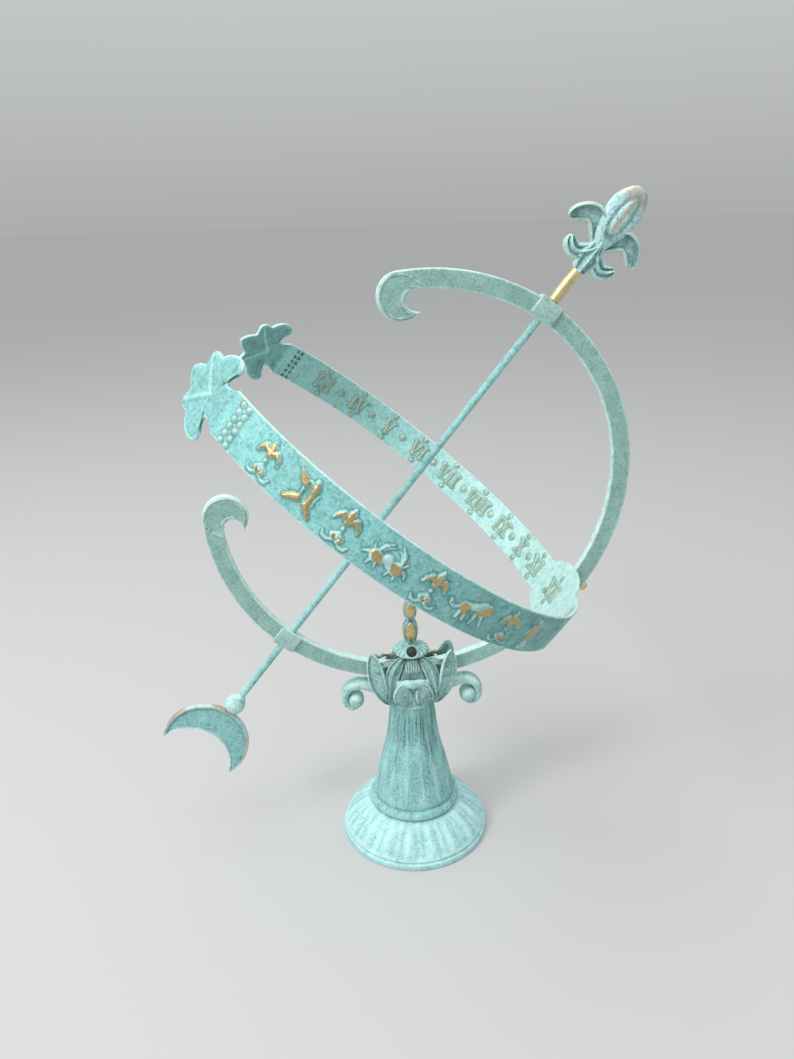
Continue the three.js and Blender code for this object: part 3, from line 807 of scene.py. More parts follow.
def meridian_ring():
    top, left = ring_point(0, HOOK_ENDS[0]), ring_point(0, HOOK_ENDS[1])
    hooks = [(top[0], top[1] - HOOK_RADIUS), (left[0] + HOOK_RADIUS, left[1])]
    notches = [(top[0] + 12.5, top[1] - RING_BAR - HOOK_NOTCH), (left[0] + HOOK_RADIUS + 6.5, left[1] - 10.5)]
    upper = crook(hooks[0], notches[0], (-40, -270), (250, 90))
    lower = crook(hooks[1], notches[1], (-40, 180), (-25, 180))
    bar_outer = ring_point(0, np.linspace(*HOOK_ENDS, 420))[1:-1]
    bar_inner = ring_point(RING_BAR, np.linspace(HOOK_ENDS[0] - 4, HOOK_ENDS[1] + 4, 420))[1:-1]
    outer = np.vstack([upper[0], bar_outer, lower[0][::-1]])
    inner = np.vstack([upper[1], bar_inner, lower[1][::-1]])

    def moon(x, z, side):
        """A raised crescent line on each hook's face."""
        lift = 0 * x
        for centre, notch in zip(hooks, notches):
            out = HOOK_RADIUS - np.hypot(x - centre[0], z - centre[1])
            back = np.hypot(x - notch[0], z - notch[1]) - HOOK_NOTCH
            near_edge = np.minimum(out, back)
            lift += bump(near_edge, 2.6, 0.7) * (out > -1) * (back > -1)
        return 0.9 * np.clip(lift, 0, 1), 0 * x, 0.5 * bump(lift, 0.35, 0.2), 0.8 * smooth(0.6, 1, lift)

    ring = ribbon(outer, inner, RING_THICK, RING_EDGE, upright, across=14, relief=moon)
    made = merged(ring, boss(-1), boss(1))
    piece("ring_casting", made, ring_metal, "meridian", ["meridian_ring"])


def rounded_section(half_a, half_b, corner):
    """A closed rounded rectangle, as two coordinate lists."""
    a, b = [], []
    for k, (sa, sb) in enumerate(((1, 1), (-1, 1), (-1, -1), (1, -1))):
        turn = np.radians(np.linspace(90 * k, 90 * k + 90, 8))
        a.append(sa * (half_a - corner) + corner * np.cos(turn))
        b.append(sb * (half_b - corner) + corner * np.sin(turn))
    return np.concatenate(a), np.concatenate(b)


def boss(side):
    """A block of the ring that the gnomon's rod goes through."""
    rings = []
    half = BOSS_DEPTH / 2
    ends = (
        (-half, 1.2), (-half + 0.5, 0.4), (-half + 1.2, 0), (half - 1.2, 0), (half - 0.5, 0.4), (half, 1.2),
    )
    for up, pull in ends:
        a, b = rounded_section(BOSS_LENGTH / 2 - pull, BOSS_WIDTH / 2 - pull, 1.6)
        rings.append(in_row(GNOMON_OFFSET + a, b, side * BOSS_OFFSET + up))
    points, faces = loft(rings)
    pale = np.repeat([0.7, 0.5, 0.1, 0.1, 0.5, 0.7], len(points) // len(ends))
    return points, faces, {"pale": pale}


# ---------------------------------------------------------------- gnomon


ROD_SIDES, ROD_STEPS = 40, 90


def rod_mesh(radius, low, high, waver=0.0):
    """A round bar along the gnomon's axis, with a small chamfer at each end."""
    up = np.concatenate([[low, low + 0.4], np.linspace(low + 2, high - 2, ROD_STEPS), [high - 0.4, high]])
    wide = np.concatenate([[radius - 0.5, radius], np.full(ROD_STEPS, radius), [radius, radius - 0.5]])
    wide[2:-2] += waver * (np.sin(up[2:-2] * 0.31) + np.sin(up[2:-2] * 0.83 + 1)) / 2
    a, b = circle(1.0, ROD_SIDES)
    return loft([in_row(GNOMON_OFFSET + r * a, r * b, u) for u, r in zip(up, wide)])


def gnomon_rod():
    piece("rod_bar", rod_mesh(ROD_RADIUS, ROD_BOTTOM, ROD_TOP, waver=0.06), cast, "pointer",
          ["gnomon_rod"])
    piece("polished_sleeve", rod_mesh(SLEEVE_RADIUS, SLEEVE_BOTTOM, SLEEVE_TOP), brass, "pointer",
          ["brass_sleeve"])


def from_pointer(part):
    """Moves a part made at (towards noon, towards viewer, up the rod) onto the gnomon's axis."""
    p = part[0]
    return (in_row(GNOMON_OFFSET + p[:, 0], p[:, 1], p[:, 2]), *part[1:])


# Leaf stations up the rod: towards noon, towards the viewer, up, half width.
TIP_CENTRE = [
    (0, 0, 246, 6.0), (0, 0.6, 254, 8.6), (0, 1.2, 264, 11.8), (0, 1.4, 274, 14.2), (0, 1.0, 283, 14.8),
    (0, 0.6, 291, 12.8), (0, 0.2, 297, 9.6), (0, 0, 301, 5.6), (0, 0, TIP_END, 1.2),
]
TIP_ALMOND = [
    (0, 5.0, 261, 0.6), (0, 6.0, 267, 3.8), (0, 6.4, 276, 5.2), (0, 6.0, 285, 3.6), (0, 5.0, 292, 0.5),
]
TIP_WING = [
    (1, 0.5, 247, 4.6), (7, 1.0, 256.5, 7.8), (14, 1.6, 263.4, 8.8), (20.6, 1.6, 264.0, 8.4),
    (26, 1.2, 260.8, 7.6), (30, 0.8, 256.6, 6.2), (31.6, 0.2, 253, 4.0), (32.0, 0, 250.8, 0.8),
]
TIP_LOBE = [
    (1, 0.5, 246, 5.0), (6.5, 1.2, 239, 6.6), (13, 1.8, 235, 6.8), (18.6, 1.4, 237, 6.2),
    (21.6, 0.8, 240.4, 4.0), (23.2, 0.5, 242.4, 0.8),
]
TIP_SKIRT = [
    (0, 0.6, 251, 5.4), (0, 1.6, 243, 8.6), (0, 1.6, 235, 9.8), (0, 0.8, 229, 8.2), (0, 0, TIP_BASE, 6.6),
]


def fleur_de_lis():
    near = (0, 1, 0)
    parts = []
    made = leaf(spline(TIP_CENTRE, 7), near, TIP_THICK, edge=0.3, sides=64)
    p = made[0]
    made[2]["worn"] = smooth(284, 296, p[:, 2]) * (0.55 + 0.4 * (np.abs(p[:, 0]) > 6)) * (p[:, 1] > -3)
    around = np.hypot(p[:, 0] / 6.8, (p[:, 2] - 276) / 18)
    made[2]["shade"] = np.maximum(made[2]["shade"], 0.9 * bump(around, 1.0, 0.16) * (p[:, 1] > 0))
    parts.append(made)
    made = leaf(spline(TIP_ALMOND, 6), near, 5.4, edge=0.0)
    made[2]["worn"] = 0.9 * bump(made[0][:, 0], 0, 2.2) * (made[0][:, 1] > 6)
    made[2]["shade"] = 0.9 * (made[0][:, 1] < 6)
    parts.append(made)
    wing_look = {"hollow": 1.0, "rim": 0.45, "edge": 0.8, "inset": 0.35, "vein": 0, "sides": 56, "well": 0.56}
    lobe_look = {"hollow": 0.45, "rim": 0.2, "inset": 0.1, "vein": 1.0, "sides": 48, "well": 0.5}
    for side in (-1, 1):
        parts.append(leaf(spline(placed(TIP_WING, side), 8), near, WING_THICK, **wing_look))
        parts.append(leaf(spline(placed(TIP_LOBE, side), 8), near, WING_THICK, **lobe_look))
    parts.append(leaf(spline(TIP_SKIRT, 7), near, TIP_THICK, hollow=0.3, inset=0.2, vein=1.0, well=0.5))
    knot_shape = spline([(0, -6.8), (3.0, -6.2), (5.0, -3.4), (5.6, 0), (5.0, 3.4), (3.0, 6.2), (0, 6.8)], 6)
    knot = turned(knot_shape, 40)
    p = knot[0]
    points = np.stack([p[:, 2] * 0.95, 1.5 + p[:, 0], 250.5 + 0.7 * p[:, 1]], -1)
    parts.append((points, knot[1], {"worn": 0.5 * smooth(1, 4, p[:, 0]), "pale": np.full(len(p), 0.4)}))
    made = merged(*[from_pointer(part) for part in parts])
    piece("fleur_casting", made, tip_metal, "pointer", ["fleur_de_lis"])


def tail_ball():
    around = np.radians(np.linspace(-90, 90, 41))
    profile = np.stack([BALL_RADIUS * np.cos(around), BALL_CENTRE + BALL_RADIUS * np.sin(around)], -1)
    profile[0, 0] = profile[-1, 0] = 0

    def hammered(angle, radius, height):
        face = np.abs(np.cos(2.5 * angle)) ** 3 * np.abs(np.cos((height - BALL_CENTRE) * 0.22)) ** 2
        dents = 0.35 * (np.sin(5 * angle + height) * np.sin(height * 0.9 + 1)) * (radius > 2)
        return radius * (1 - 0.03 * face) + dents * 0.6, height, {"pale": 0.5 * face}

    ball = turned(profile, 64, hammered)
    neck_shape = [(0, -266.5), (5.2, -266.3), (5.8, -265.2), (5.0, -264.0), (3.9, -263.0), (3.3, -262)]
    neck = turned(spline(neck_shape, 5), 40)
    made = merged(from_pointer(ball), from_pointer(neck))
    piece("ball_casting", made, ball_metal, "pointer", ["tail_ball"])


def crescent_tail():
    shift = CRESCENT_OUTER_CENTRE - CRESCENT_INNER_CENTRE
    horn_up = (shift**2 + CRESCENT_OUTER**2 - CRESCENT_INNER**2) / (2 * shift)
    horn = math.degrees(math.acos(-horn_up / CRESCENT_OUTER))
    inner = math.degrees(math.asin(CRESCENT_OUTER * math.sin(math.radians(horn)) / CRESCENT_INNER))
    horn, inner = horn - CRESCENT_BLUNT, inner - 0.4 * CRESCENT_BLUNT
    back = arc(0, CRESCENT_OUTER_CENTRE, CRESCENT_OUTER, 90 + horn, 90 - horn, 160)
    front = arc(0, CRESCENT_INNER_CENTRE, CRESCENT_INNER, 90 + inner, 90 - inner, 160)

    def plane(x, up, height):
        return in_row(GNOMON_OFFSET + x, height, up)

    def dished(x, up, side):
        out = CRESCENT_OUTER - np.hypot(x, up - CRESCENT_OUTER_CENTRE)
        from_inner = np.hypot(x, up - CRESCENT_INNER_CENTRE) - CRESCENT_INNER
        hollow_and_shade = smooth(2.6, 4.6, out) * smooth(0.5, 2.0, from_inner)
        rim = 1 - smooth(1.7, 2.7, out)
        rubbed = 0.25 + 0.7 * smooth(-0.3, 0.6, np.sin(5 * np.arctan2(x, up - CRESCENT_OUTER_CENTRE) + 2.2))
        return -1.2 * hollow_and_shade, rubbed * rim, 0.6 * bump(out, 3.4, 0.8), 0.5 * rim

    made = ribbon(back, front, CRESCENT_THICK, CRESCENT_EDGE, plane, across=22, relief=dished)
    made[2]["pale"] *= 1 - made[2]["worn"]
    piece("crescent_casting", made, moon_metal, "pointer", ["crescent_tail"])


# ---------------------------------------------------------------- hour band: figures


def stroke(x, y, path, width):
    """How far inside a tapering stroke each point lies, in mm (negative outside)."""
    path = np.atleast_2d(np.asarray(path, float))
    if len(path) == 1:
        path = np.repeat(path, 2, axis=0)
    width = np.broadcast_to(np.asarray(width, float), len(path))
    best = np.full(x.shape, -99.0)
    for a, b, wide_a, wide_b in zip(path[:-1], path[1:], width[:-1], width[1:]):
        run = b - a
        t = np.clip(((x - a[0]) * run[0] + (y - a[1]) * run[1]) / max(run @ run, 1e-9), 0, 1)
        far = np.hypot(x - a[0] - t * run[0], y - a[1] - t * run[1])
        best = np.maximum(best, wide_a + (wide_b - wide_a) * t - far)
    return best


def both_sides(*strokes, over=1):
    """Each stroke and its mirror image, or with over=-1 a copy of it turned half round."""
    twins = []
    for path, *rest in strokes:
        twins += [(path, *rest), ([(-x, over * y) for x, y in path], *rest)]
    return twins


# Each stroke is (path, half width), and GOLD where it is rubbed bright: mm from the figure's
# middle, x to the reader's right.
GOLD = True
LILY = [
    ([(0, 3), (0, 9), (0, 13.4)], (2.6, 3.0, 0.8)),
    ([(0, 1.6), (0, 8), (0, 11.4)], (1.7, 2.5, 0.9), GOLD),
    ([(0, -2.2)], 1.6),
    ([(0, -5.5), (0, -8.5)], (1.2, 2.2)),
    *both_sides(
        ([(1, 4.5), (5, 6.8), (8, 3.6), (9.6, 0.2)], (2.0, 2.4, 1.9, 0.8)),
        ([(1, 4), (4.7, 6.2), (7.8, 3.4), (9, 1)], (1.6, 2.1, 1.5, 0.6), GOLD),
        ([(1, -6), (3.2, -9), (1.6, -11.6)], (1.0, 2.2, 1.6)),
        ([(2.8, -8.8), (1.8, -11)], (1.7, 1.1), GOLD),
        ([(1.4, -12), (5, -14), (8.4, -13.6), (10, -11)], (0.9, 1.1, 1.2, 0.7)),
    ),
]
TWINS = [
    ([(-10.5, 10.8), (-6, 7.4), (-3.6, 6)], (0.9, 2.8, 3.2), GOLD),
    ([(-2.6, 2), (-2.4, -1.5)], (1.2, 1.0)),
    ([(-2.6, -5), (-6.5, -7.2), (-11, -10.2)], (2.6, 2.8, 1.7), GOLD),
    ([(4.4, 7.2), (5, 1), (5, -4)], (2.9, 2.2, 2.3), GOLD),
    ([(4.2, -6), (7.6, -9), (10.8, -12.4)], (2.6, 2.4, 1.2), GOLD),
    ([(3.4, 11)], 2.2),
    ([(-1.5, 8.8), (2, 8.2)], 1.0),
    ([(9, 4), (8, 0), (8.6, -4)], 0.7),
]
CRAB = [
    ([(-8, -3), (-4, -3.4)], (5.2, 3.4)),
    ([(7.6, -3.2), (3, -3.2)], (5.4, 3.6)),
    ([(-10, -1.6), (-7, -3.4), (-4.6, -4.6)], (2.6, 3.8, 2.2), GOLD),
    ([(5.2, -1.8), (8, -3.6), (10, -2)], (2.4, 4.0, 2.6), GOLD),
    ([(0, -1)], 4.2),
    ([(-8.5, 1), (-6.4, 6), (-2.6, 9.6)], (1.2, 1.5, 0.7)),
    ([(-6, 3), (-3.6, 6.4), (-0.6, 8)], (0.9, 1.1, 0.5)),
    ([(9, 1.4), (8.2, 7), (4, 11.2)], (1.2, 1.5, 0.7)),
    ([(8, 3), (6.4, 7), (2.6, 8.2)], (0.9, 1.0, 0.5)),
    ([(-11, -2.6), (-14.4, -3.4), (-17.4, -5.4)], (1.4, 1.2, 0.6)),
    ([(-11, 0), (-13, 3.6)], (1.0, 0.5)),
    ([(12, -2), (15, -3.2), (16.6, -6.4)], (1.4, 1.2, 0.6)),
    ([(11, 0.6), (13.4, 3.4)], (1.0, 0.5)),
    *[([(x, -6.5), (x + lean, -11)], (1.1, 0.6))
      for x, lean in ((-9.6, -1.2), (-6, 1.4), (5.4, -1.2), (9.4, 1.2))],
]
LION = [
    ([(-6, 0.6), (1, 2.6), (9, 5.2), (12, 4.4)], (3.6, 2.8, 4.4, 5.4)),
    ([(-7, 0.6), (-4.4, -0.8), (-3.6, -4)], (2.8, 3.8, 1.6), GOLD),
    ([(-5.4, -4), (-6.2, -7.4)], (1.6, 0.9), GOLD),
    ([(7.6, 1), (11.4, 3.4), (13.8, 4.6)], (1.8, 3.4, 3.8), GOLD),
    ([(7, -1), (9.6, 1.4)], (1.7, 2.4), GOLD),
    ([(-7, 2), (-9.4, -1.6), (-13, -3.6), (-16.4, -1.6), (-17.6, 0.6)], (1.0, 1.1, 1.3, 1.6, 1.2)),
    ([(-16.6, -1.2)], 1.3, GOLD),
    ([(-6, -4), (-6.8, -9.6)], (2.2, 1.1)),
    ([(-2.4, -4), (-0.8, -9.6)], (1.8, 1.0)),
    ([(6.6, -1), (6, -9.4)], (1.9, 1.1)),
    ([(11.4, -1), (15.6, -8.8)], (1.9, 1.1)),
]
MAIDEN = [
    ([(0, 11.4)], 2.3),
    ([(0, 8), (0.6, 2), (0, -4)], (2.8, 3.6, 2.6), GOLD),
    ([(2, 7.4), (6, 9.6), (8, 13)], (1.3, 1.2, 0.8)),
    ([(-2, 7), (-5.6, 3.6), (-6.6, -1)], (1.3, 1.1, 0.8)),
    ([(0, -4), (-2.6, -13)], (2.4, 2.6)),
    ([(0.6, -4), (2.6, -13)], (2.2, 2.0)),
]
BULL = [
    ([(-11, 1), (-3, 2.4), (6, 3.6)], (4.0, 3.6, 4.6)),
    ([(-9.4, 0.6)], 3.4, GOLD),
    ([(5, 3.2)], 3.8, GOLD),
    ([(10, 5.6), (13.4, 3)], (3.0, 2.0)),
    ([(11, 8), (13.6, 11), (12, 13.6)], (1.1, 0.9, 0.5)),
    ([(9, 8), (6.6, 10.6), (8.4, 13)], (1.1, 0.9, 0.5)),
    ([(-14, 2.4), (-16.4, -2), (-15.4, -6)], (1.0, 0.8, 1.2)),
    *[([(x, -2), (x + lean, -11)], (2.0, 1.1))
      for x, lean in ((-11, -1.4), (-7, 1.6), (3.6, -1.6), (7.6, 1.6))],
]
FISHES = [
    *both_sides(
        ([(-12, 6.4), (-4, 7.6), (5, 6.4)], (1.2, 4.2, 2.2)),
        ([(-8, 7), (1, 7)], (1.6, 2.6), GOLD),
        ([(5, 6.4), (10, 9.6)], (1.2, 2.0)),
        ([(5, 6.4), (10, 3.4)], (1.2, 2.0)),
        over=-1,
    ),
    ([(-12, 6), (-14, 0), (0, 0), (14, 0), (12, -6)], 0.7),
]
SCALES = [
    ([(0, 12), (0, -9)], (1.4, 1.8)),
    ([(-10, 8.6), (0, 10), (10, 8.6)], (1.0, 1.6, 1.0)),
    ([(-4.6, -11), (4.6, -11)], 1.6),
    *both_sides(
        ([(10, 8), (6.6, -1)], 0.6),
        ([(10, 8), (13.4, -1)], 0.6),
        ([(6.6, -2), (10, -4), (13.4, -2)], (1.0, 2.0, 1.0)),
        ([(9, -2.8), (11, -2.8)], 1.4, GOLD),
    ),
]
# Degrees round from noon, on the half that can be seen and on the one whose outside faces away.
FIGURE_PLACES = (122.8, 112.8, 103.3, 93.2, 82.8, 73.0, 61.6, 52.4)
FIGURES = {
    1: (LILY, TWINS, LILY, CRAB, LILY, LION, LILY, MAIDEN),
    -1: (LILY, BULL, LILY, FISHES, LILY, SCALES, LILY, MAIDEN),
}

NUMERAL_HALF = 7.2
SERIF = 2.6


def bar_of(x_low, x_high, thick=1.7):
    """One slanting or upright stroke of a numeral, with serifs at both ends."""
    strokes = [([(x_low, -NUMERAL_HALF), (x_high, NUMERAL_HALF)], thick, GOLD)]
    for x, y in ((x_low, -NUMERAL_HALF), (x_high, NUMERAL_HALF)):
        strokes.append(([(x - SERIF, y), (x + SERIF, y)], 0.8, GOLD))
    return strokes


def numeral(text):
    """Strokes of a Roman numeral, centred."""
    wide = {"I": 7.6, "V": 12.5, "X": 12.5}
    if len(text) > 3:
        wide = {"I": 6.2, "V": 11.5, "X": 11.5}
    total = sum(wide[c] for c in text)
    at, strokes = -total / 2, []
    for letter in text:
        middle = at + wide[letter] / 2
        half = wide[letter] / 2 - 2.2
        if letter == "I":
            strokes += bar_of(middle, middle)
        if letter == "V":
            strokes += bar_of(middle, middle - half)
            strokes += bar_of(middle, middle + half, 1.1)
        if letter == "X":
            strokes += bar_of(middle + half, middle - half) + bar_of(middle - half, middle + half, 1.1)
        at += wide[letter]
    return strokes


HOURS = {0: "XII", -14.3: "XI", -24.2: "X", -34.6: "IX", -46.7: "VIII", -60.0: "VII", -73.0: "VI",
         -85.4: "V", -98.1: "IV", -111.7: "III", 23.9: "II", 36.0: "III", 48.0: "IV", 60.0: "V",
         73.0: "VI", 85.6: "VII", 99.0: "VIII", 112.0: "IX"}
HOUR_DOTS = [-19.2, -29.4, -40.6, -53.4, -66.6, -79.6, -92.2, -104.8,
             30.0, 42.0, 54.0, 66.5, 79.5, 92.4, 105.6]
FIGURE_LIFT, BEAD_LIFT, NUMERAL_LIFT = 1.9, 1.5, 1.3
BEAD_RADIUS = 2.3
# Inside the band: studs above and below each numeral, and larger dots between the numerals.
STUD_OFF_MIDDLE, STUD_RADIUS, STUD_LIFT = 13.9, 2.5, 0.9
DOT_RADIUS, DOT_LIFT = 3.1, 1.0
BEAD_ROWS = (-125.6, -124.0, 132.1, 134.1)
BEADS = np.linspace(-15.0, 13.8, 6)
RIB_ROWS = (39.4, 36.8)
RIB, RIB_LIFT = [([(0, -15.5), (0, 15.5)], 1.4)], 1.3


def raise_figure(fields, x, y, strokes, height):
    """Adds a figure to the (lift, worn, shade, pale) fields; x and y are mm from its middle."""
    lift, worn, shade, pale = fields
    close = (np.abs(x) < 26) & (np.abs(y) < 20)
    if not close.any():
        return
    px, py = x[close], y[close]
    depth = np.full(px.shape, -99.0)
    gold = np.full(px.shape, -99.0)
    for path, width, *gilt in strokes:
        inside = stroke(px, py, path, width)
        depth = np.maximum(depth, inside)
        if gilt:
            gold = np.maximum(gold, inside)
    lift[close] = np.maximum(lift[close], height * smooth(-0.5, 1.7, depth))
    pale[close] = np.maximum(pale[close], 0.7 * smooth(0.0, 0.9, depth) * (gold < 0.2))
    worn[close] = np.maximum(worn[close], smooth(0.05, 0.55, gold))
    shade[close] = np.maximum(shade[close], 0.75 * bump(depth, -0.7, 0.5))


def dot(radius, *gilt):
    """A round bead, as a figure of one stroke."""
    return [([(0, 0)], radius, *gilt)]


def band_relief(s, w, side):
    """Height, gold, shadow and paleness over the unrolled band: zodiac outside, hours inside. Inside, the
    paleness is mostly painted light, strongest at noon.
    """
    fields = (0 * s, 0 * s, 0 * s, 0 * s)
    lift, worn, shade, pale = fields
    beads = [(s - row * DEGREE_OF_BAND, w - bead) for row in BEAD_ROWS for bead in BEADS]
    from_noon = np.abs(s) / DEGREE_OF_BAND
    if side > 0:
        for sign, figures in FIGURES.items():
            for angle, figure in zip(FIGURE_PLACES, figures):
                raise_figure(fields, sign * angle * DEGREE_OF_BAND - s, w, figure, FIGURE_LIFT)
        for along, up in beads:
            raise_figure(fields, along, up, dot(BEAD_RADIUS), BEAD_LIFT)
            middle = BEAD_RADIUS - np.hypot(along, up)
            worn[:] = np.maximum(worn, 0.35 * smooth(0.4, 1.2, middle))
        for row in (*RIB_ROWS, *[-row for row in RIB_ROWS]):
            raise_figure(fields, s - row * DEGREE_OF_BAND, w, RIB, RIB_LIFT)
        worn[:] *= 0.95
        # Painted shade: outside, the band darkens towards noon, where it faces down, away from the light.
        shade[:] = np.maximum(shade, 0.42 * (1 - smooth(25, 105, from_noon)))
        return fields
    for angle, text in HOURS.items():
        along = s - angle * DEGREE_OF_BAND
        raise_figure(fields, along, w, numeral(text), NUMERAL_LIFT)
        for edge in (-STUD_OFF_MIDDLE, STUD_OFF_MIDDLE):
            raise_figure(fields, along, w - edge, dot(STUD_RADIUS, GOLD), STUD_LIFT)
    for angle in HOUR_DOTS:
        raise_figure(fields, s - angle * DEGREE_OF_BAND, w, dot(DOT_RADIUS, GOLD), DOT_LIFT)
    worn[:] *= 0.6
    for along, up in beads:
        hole = 1 - smooth(1.2, 2.4, np.hypot(along, up))
        lift[:] -= 0.8 * hole
        shade[:] = np.maximum(shade, hole)
    # Painted light: inside, the band is painted paler, most at noon, where it faces up to the light.
    chalk_and_painted_light = 0.22 + 0.58 * (1 - smooth(5, 115, from_noon))
    pale[:] = np.maximum(pale, chalk_and_painted_light * (worn < 0.1) * (shade < 0.2))
    return fields


def on_band(s, w, height):
    """From the unrolled band to the row frame. Height counts outwards from the middle of its wall."""
    a = np.radians(s / DEGREE_OF_BAND)
    noon = BAND_CENTRE + (BAND_NOON - BAND_THICK / 2 + height) * np.cos(a)
    near = (BAND_SIDE - BAND_THICK / 2 + height) * np.sin(a)
    return in_row(noon, near, BAND_SHIFT + w)


def band_half_width(degrees):
    """Half the band's width, with round lugs on both sides of the seam."""
    east = degrees > BAND_SEAM
    centre = np.where(east, 2 * BAND_SEAM - PLATE_CENTRE, PLATE_CENTRE)
    swell = np.sqrt(np.clip(1 - ((degrees - centre) / PLATE_ARC) ** 2, 0, 1))
    return BAND_WIDTH / 2 + np.where(east, PLATE_LOBE_EAST, PLATE_LOBE) * swell


def band_strip(low, high):
    degrees = np.linspace(low, high, int(abs(high - low) * DEGREE_OF_BAND / 0.6))
    half = band_half_width(degrees)
    s = degrees * DEGREE_OF_BAND
    low_edge, high_edge = np.stack([s, -half], -1), np.stack([s, half], -1)
    return ribbon(low_edge, high_edge, BAND_THICK, BAND_EDGE, on_band, across=60, relief=band_relief)


# Half the palmette's outline: mm beyond the band's neck, and mm off its middle line.
PALMETTE = [
    (-2.5, 17.5), (2.6, 15.6), (7.2, 14.0), (12.6, 13.8), (15.2, 17.0), (13.2, 21.6), (9.2, 25.2),
    (8.4, 29.0), (12.4, 32.6), (19.4, 33.0), (26.0, 30.8), (31.6, 27.2), (35.0, 23.4), (40.2, 24.0),
    (46.4, 22.8), (49.6, 19.2), (48.8, 14.6), (48.4, 10.6), (52.6, 8.6), (57.6, 6.4), (62.4, 3.2),
]
PALMETTE_TIP = (64.6, 0.0)
PALMETTE_ROOT = (22.0, 0.0)
PALMETTE_RINGS = 26
VEIN_LIFT = 1.3
# Veins: where each ends, and how high it stands and how strongly it is painted pale, a painted highlight on
# the ridge.
LOBE_TIPS = [((58, 0), 0.35), ((45, 19.5), 1.0), ((45, -19.5), 1.0), ((16, 27), 0.45), ((16, -27), 0.45)]


def palmette(half):
    """The leaf-shaped end of a band half. half is +1 at the near end and -1 at the far end."""
    outline = np.array([*PALMETTE, PALMETTE_TIP, *[(x, -y) for x, y in PALMETTE[::-1]]])
    outline = resampled(np.vstack([spline(outline, 8), outline[:1]]), 361)[:-1]
    root = np.array(PALMETTE_ROOT)
    spokes = outline - root
    reach = np.linalg.norm(spokes, axis=1, keepdims=True)
    steps = [(reach - BAND_EDGE) * k / PALMETTE_RINGS for k in range(1, PALMETTE_RINGS + 1)]
    rise = [0 * reach + BAND_THICK / 2] * PALMETTE_RINGS
    for turn in np.radians((60, 30, 0)):
        steps.append(reach - BAND_EDGE * (1 - math.cos(turn)))
        rise.append(0 * reach + BAND_THICK / 2 - BAND_EDGE * (1 - math.sin(turn)))
    sheets, shades, pales = [], [], []
    for side in (1, -1):
        rings, shade_rings, pale_rings = [], [], []
        for step, level in zip(steps, rise):
            flat = root + spokes / reach * step
            x, y = flat[:, 0], flat[:, 1]
            inward = (reach - step)[:, 0]
            vein = 0 * x
            for tip, strength in LOBE_TIPS:
                inside = stroke(x, y, [PALMETTE_ROOT, tip], (0.9, 0.3))
                vein = np.maximum(vein, strength * smooth(-3.2, 0.6, inside))
            swell = 0.8 * smooth(0.5, 7, inward) * smooth(2, 16, np.hypot(x - root[0], y))
            neck = smooth(-2.5, 4, x)
            if side > 0:
                lift = (swell + VEIN_LIFT * vein * smooth(0, 2.5, inward)) * neck
            else:
                lift = (VEIN_LIFT * vein - 1.5 * swell) * neck
            s = half * (BAND_NECK[half] * DEGREE_OF_BAND + x)
            rings.append(on_band(s, y, side * (level[:, 0] + 0.06 + lift)))
            # Painted shade in the valleys between the veins; the lines below also paint the veins pale as a
            # highlight.
            hollow = bump(vein, 0.25, 0.3) * smooth(1, 5, inward) * neck
            shade_rings.append((0.38 if side > 0 else 0.6) * hollow)
            pale_rings.append((1 - smooth(0.3, 1.2, inward)) * neck + 0.3 * vein)
        sheets += rings[::side]
        shades += shade_rings[::side]
        pales += pale_rings[::side]
    points, faces = loft(sheets)
    return points, faces, {"shade": np.ravel(shades), "pale": np.clip(np.ravel(pales), 0, 1)}


def hour_band():
    gap = 0.1
    for name, node, low, high, half in (
        ("band_west_casting", "hour_band_west", -BAND_NECK[-1], BAND_SEAM - gap, -1),
        ("band_east_casting", "hour_band_east", BAND_SEAM + gap, BAND_NECK[1], 1),
    ):
        made = merged(band_strip(low, high), palmette(half))
        piece(name, made, band_outer, "meridian", [node])


# ---------------------------------------------------------------- screws

SCREW_SEAT, SCREW_TOP, SCREW_SPACING, SCREW_HEAD = 180.5, 186.3, 20.5, 4.4


def band_screw(side, name, node):
    shank = BAND_CENTRE + BAND_NOON + 0.1
    profile = [
        (0, shank), (1.8, shank), (1.8, SCREW_SEAT), (4.2, SCREW_SEAT), (SCREW_HEAD, SCREW_SEAT + 0.4),
        (SCREW_HEAD, SCREW_TOP - 2.2), (4.0, SCREW_TOP - 1.2), (3.2, SCREW_TOP - 0.5), (2.4, SCREW_TOP - 0.2),
        (1.6, SCREW_TOP - 0.1), (1.0, SCREW_TOP), (0.6, SCREW_TOP), (0, SCREW_TOP),
    ]

    def slotted(angle, radius, height):
        slot = (np.abs(radius * np.sin(angle)) < 0.75) * (height > SCREW_TOP - 1.3)
        return radius, height - 1.2 * slot, {}

    p, faces, _ = turned(profile, 96, slotted)
    points = in_row(p[:, 2], p[:, 1], BAND_SHIFT + side * SCREW_SPACING + p[:, 0])
    piece(name, (points, faces), brass, "meridian", [node])


def finish_cad_node(node, material):
    """A CAD node whose own shape stays gets a finished material."""
    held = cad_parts[node]
    held.data.materials.clear()
    held.data.materials.append(material)


# ---------------------------------------------------------------- floor, light and camera

CAMERA_PLACE = (-43.87, -686.3, 585.8)
CAMERA_YAW, CAMERA_PITCH, CAMERA_ROLL = 0.050, 0.3663, 0.0305
CAMERA_LENS, SENSOR = 27.93, 36.0


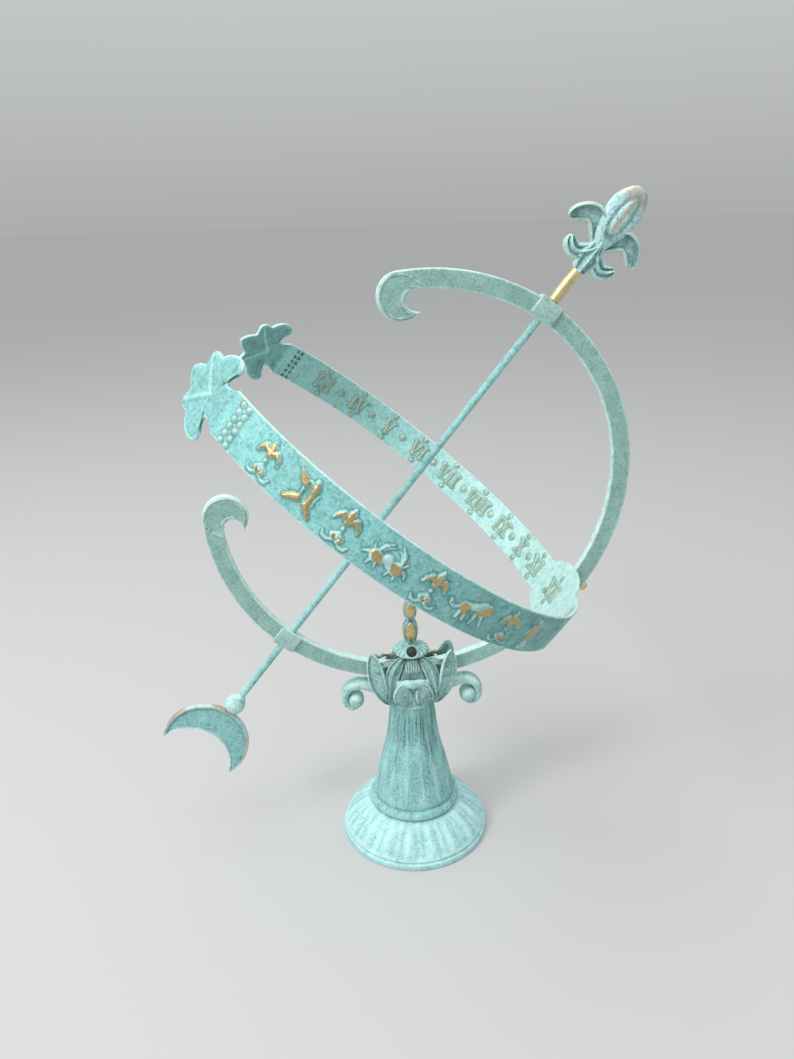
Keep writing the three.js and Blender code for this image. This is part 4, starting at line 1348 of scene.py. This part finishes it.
def camera():
    sin, cos = math.sin, math.cos
    level = cos(CAMERA_PITCH)
    forward = np.array([sin(CAMERA_YAW) * level, cos(CAMERA_YAW) * level, -sin(CAMERA_PITCH)])
    right = np.array([cos(CAMERA_YAW), -sin(CAMERA_YAW), 0])
    down = np.cross(forward, right)
    right, down = (
        cos(CAMERA_ROLL) * right + sin(CAMERA_ROLL) * down,
        cos(CAMERA_ROLL) * down - sin(CAMERA_ROLL) * right,
    )
    turn = Matrix(np.stack([right, -down, -forward], 1).tolist()).to_4x4()
    data = bpy.data.cameras.new("camera")
    data.sensor_fit = "AUTO"
    data.sensor_width = SENSOR
    data.lens = CAMERA_LENS
    data.clip_start, data.clip_end = 0.01, 50
    made = added("camera", data)
    made.matrix_world = Matrix.Translation([v * METRES for v in CAMERA_PLACE]) @ turn
    bpy.context.scene.camera = made


def area_light(name, place, aim, size, power, tint=(1, 1, 1)):
    data = bpy.data.lights.new(name, "AREA")
    data.shape = "DISK"
    data.size = size
    data.energy = power
    data.color = tint
    made = added(name, data)
    back = -unit(np.array(aim, float) - np.array(place, float))
    side = unit(np.cross((0.0, 0.1, 1.0), back))
    turn = Matrix(np.stack([side, np.cross(back, side), back], 1).tolist()).to_4x4()
    made.matrix_world = Matrix.Translation(place) @ turn


def studio():
    mesh = bpy.data.meshes.new("floor")
    far = 60
    mesh.from_pydata([(-far, -far, 0), (far, -far, 0), (far, far, 0), (-far, far, 0)], [], [(0, 1, 2, 3)])
    floor = added("floor", mesh)
    made, _, base = new_material("pale_floor")
    base.inputs["Base Color"].default_value = (0.52, 0.52, 0.515, 1)
    base.inputs["Roughness"].default_value = 0.85
    mesh.materials.append(made)
    world = bpy.data.worlds.new("studio")
    world.use_nodes = True
    tree = world.node_tree
    background = tree.nodes["Background"]
    split = tree.nodes.new("ShaderNodeSeparateXYZ")
    tree.links.new(tree.nodes.new("ShaderNodeTexCoord").outputs["Generated"], split.inputs[0])
    stops = [(0.0, (0.52, 0.53, 0.53)), (0.35, (0.80, 0.83, 0.85)), (1.0, (1.0, 1.0, 1.0))]
    tone = ramp(tree, split.outputs["Z"], stops)
    tree.links.new(tone, background.inputs["Color"])
    background.inputs["Strength"].default_value = 0.80
    bpy.context.scene.world = world
    bpy.context.scene.view_settings.view_transform = "Standard"
    area_light("sky", (-0.5, -0.3, 2.6), (0, 0, 0.3), 2.0, 34, (0.97, 0.99, 1.0))
    area_light("key", (-1.9, -1.2, 1.9), (0, 0, 0.3), 0.8, 30)


fluted_foot()
bell_column()
leaf_capital()
clamp_cup()
finial_bud()
meridian_ring()
gnomon_rod()
fleur_de_lis()
tail_ball()
crescent_tail()
hour_band()
band_screw(1, "north_screw", "band_screw_north")
band_screw(-1, "south_screw", "band_screw_south")
for node in ("upper_grub_screw", "lower_grub_screw"):
    finish_cad_node(node, brass)
for node in ("tie_rod", "cross_pin", "tie_washer", "tie_nut"):
    finish_cad_node(node, steel)
finish_cad_node("base_pad", rubber)
finish_cad_node("cup_screw", hole_dark)
camera()
studio()
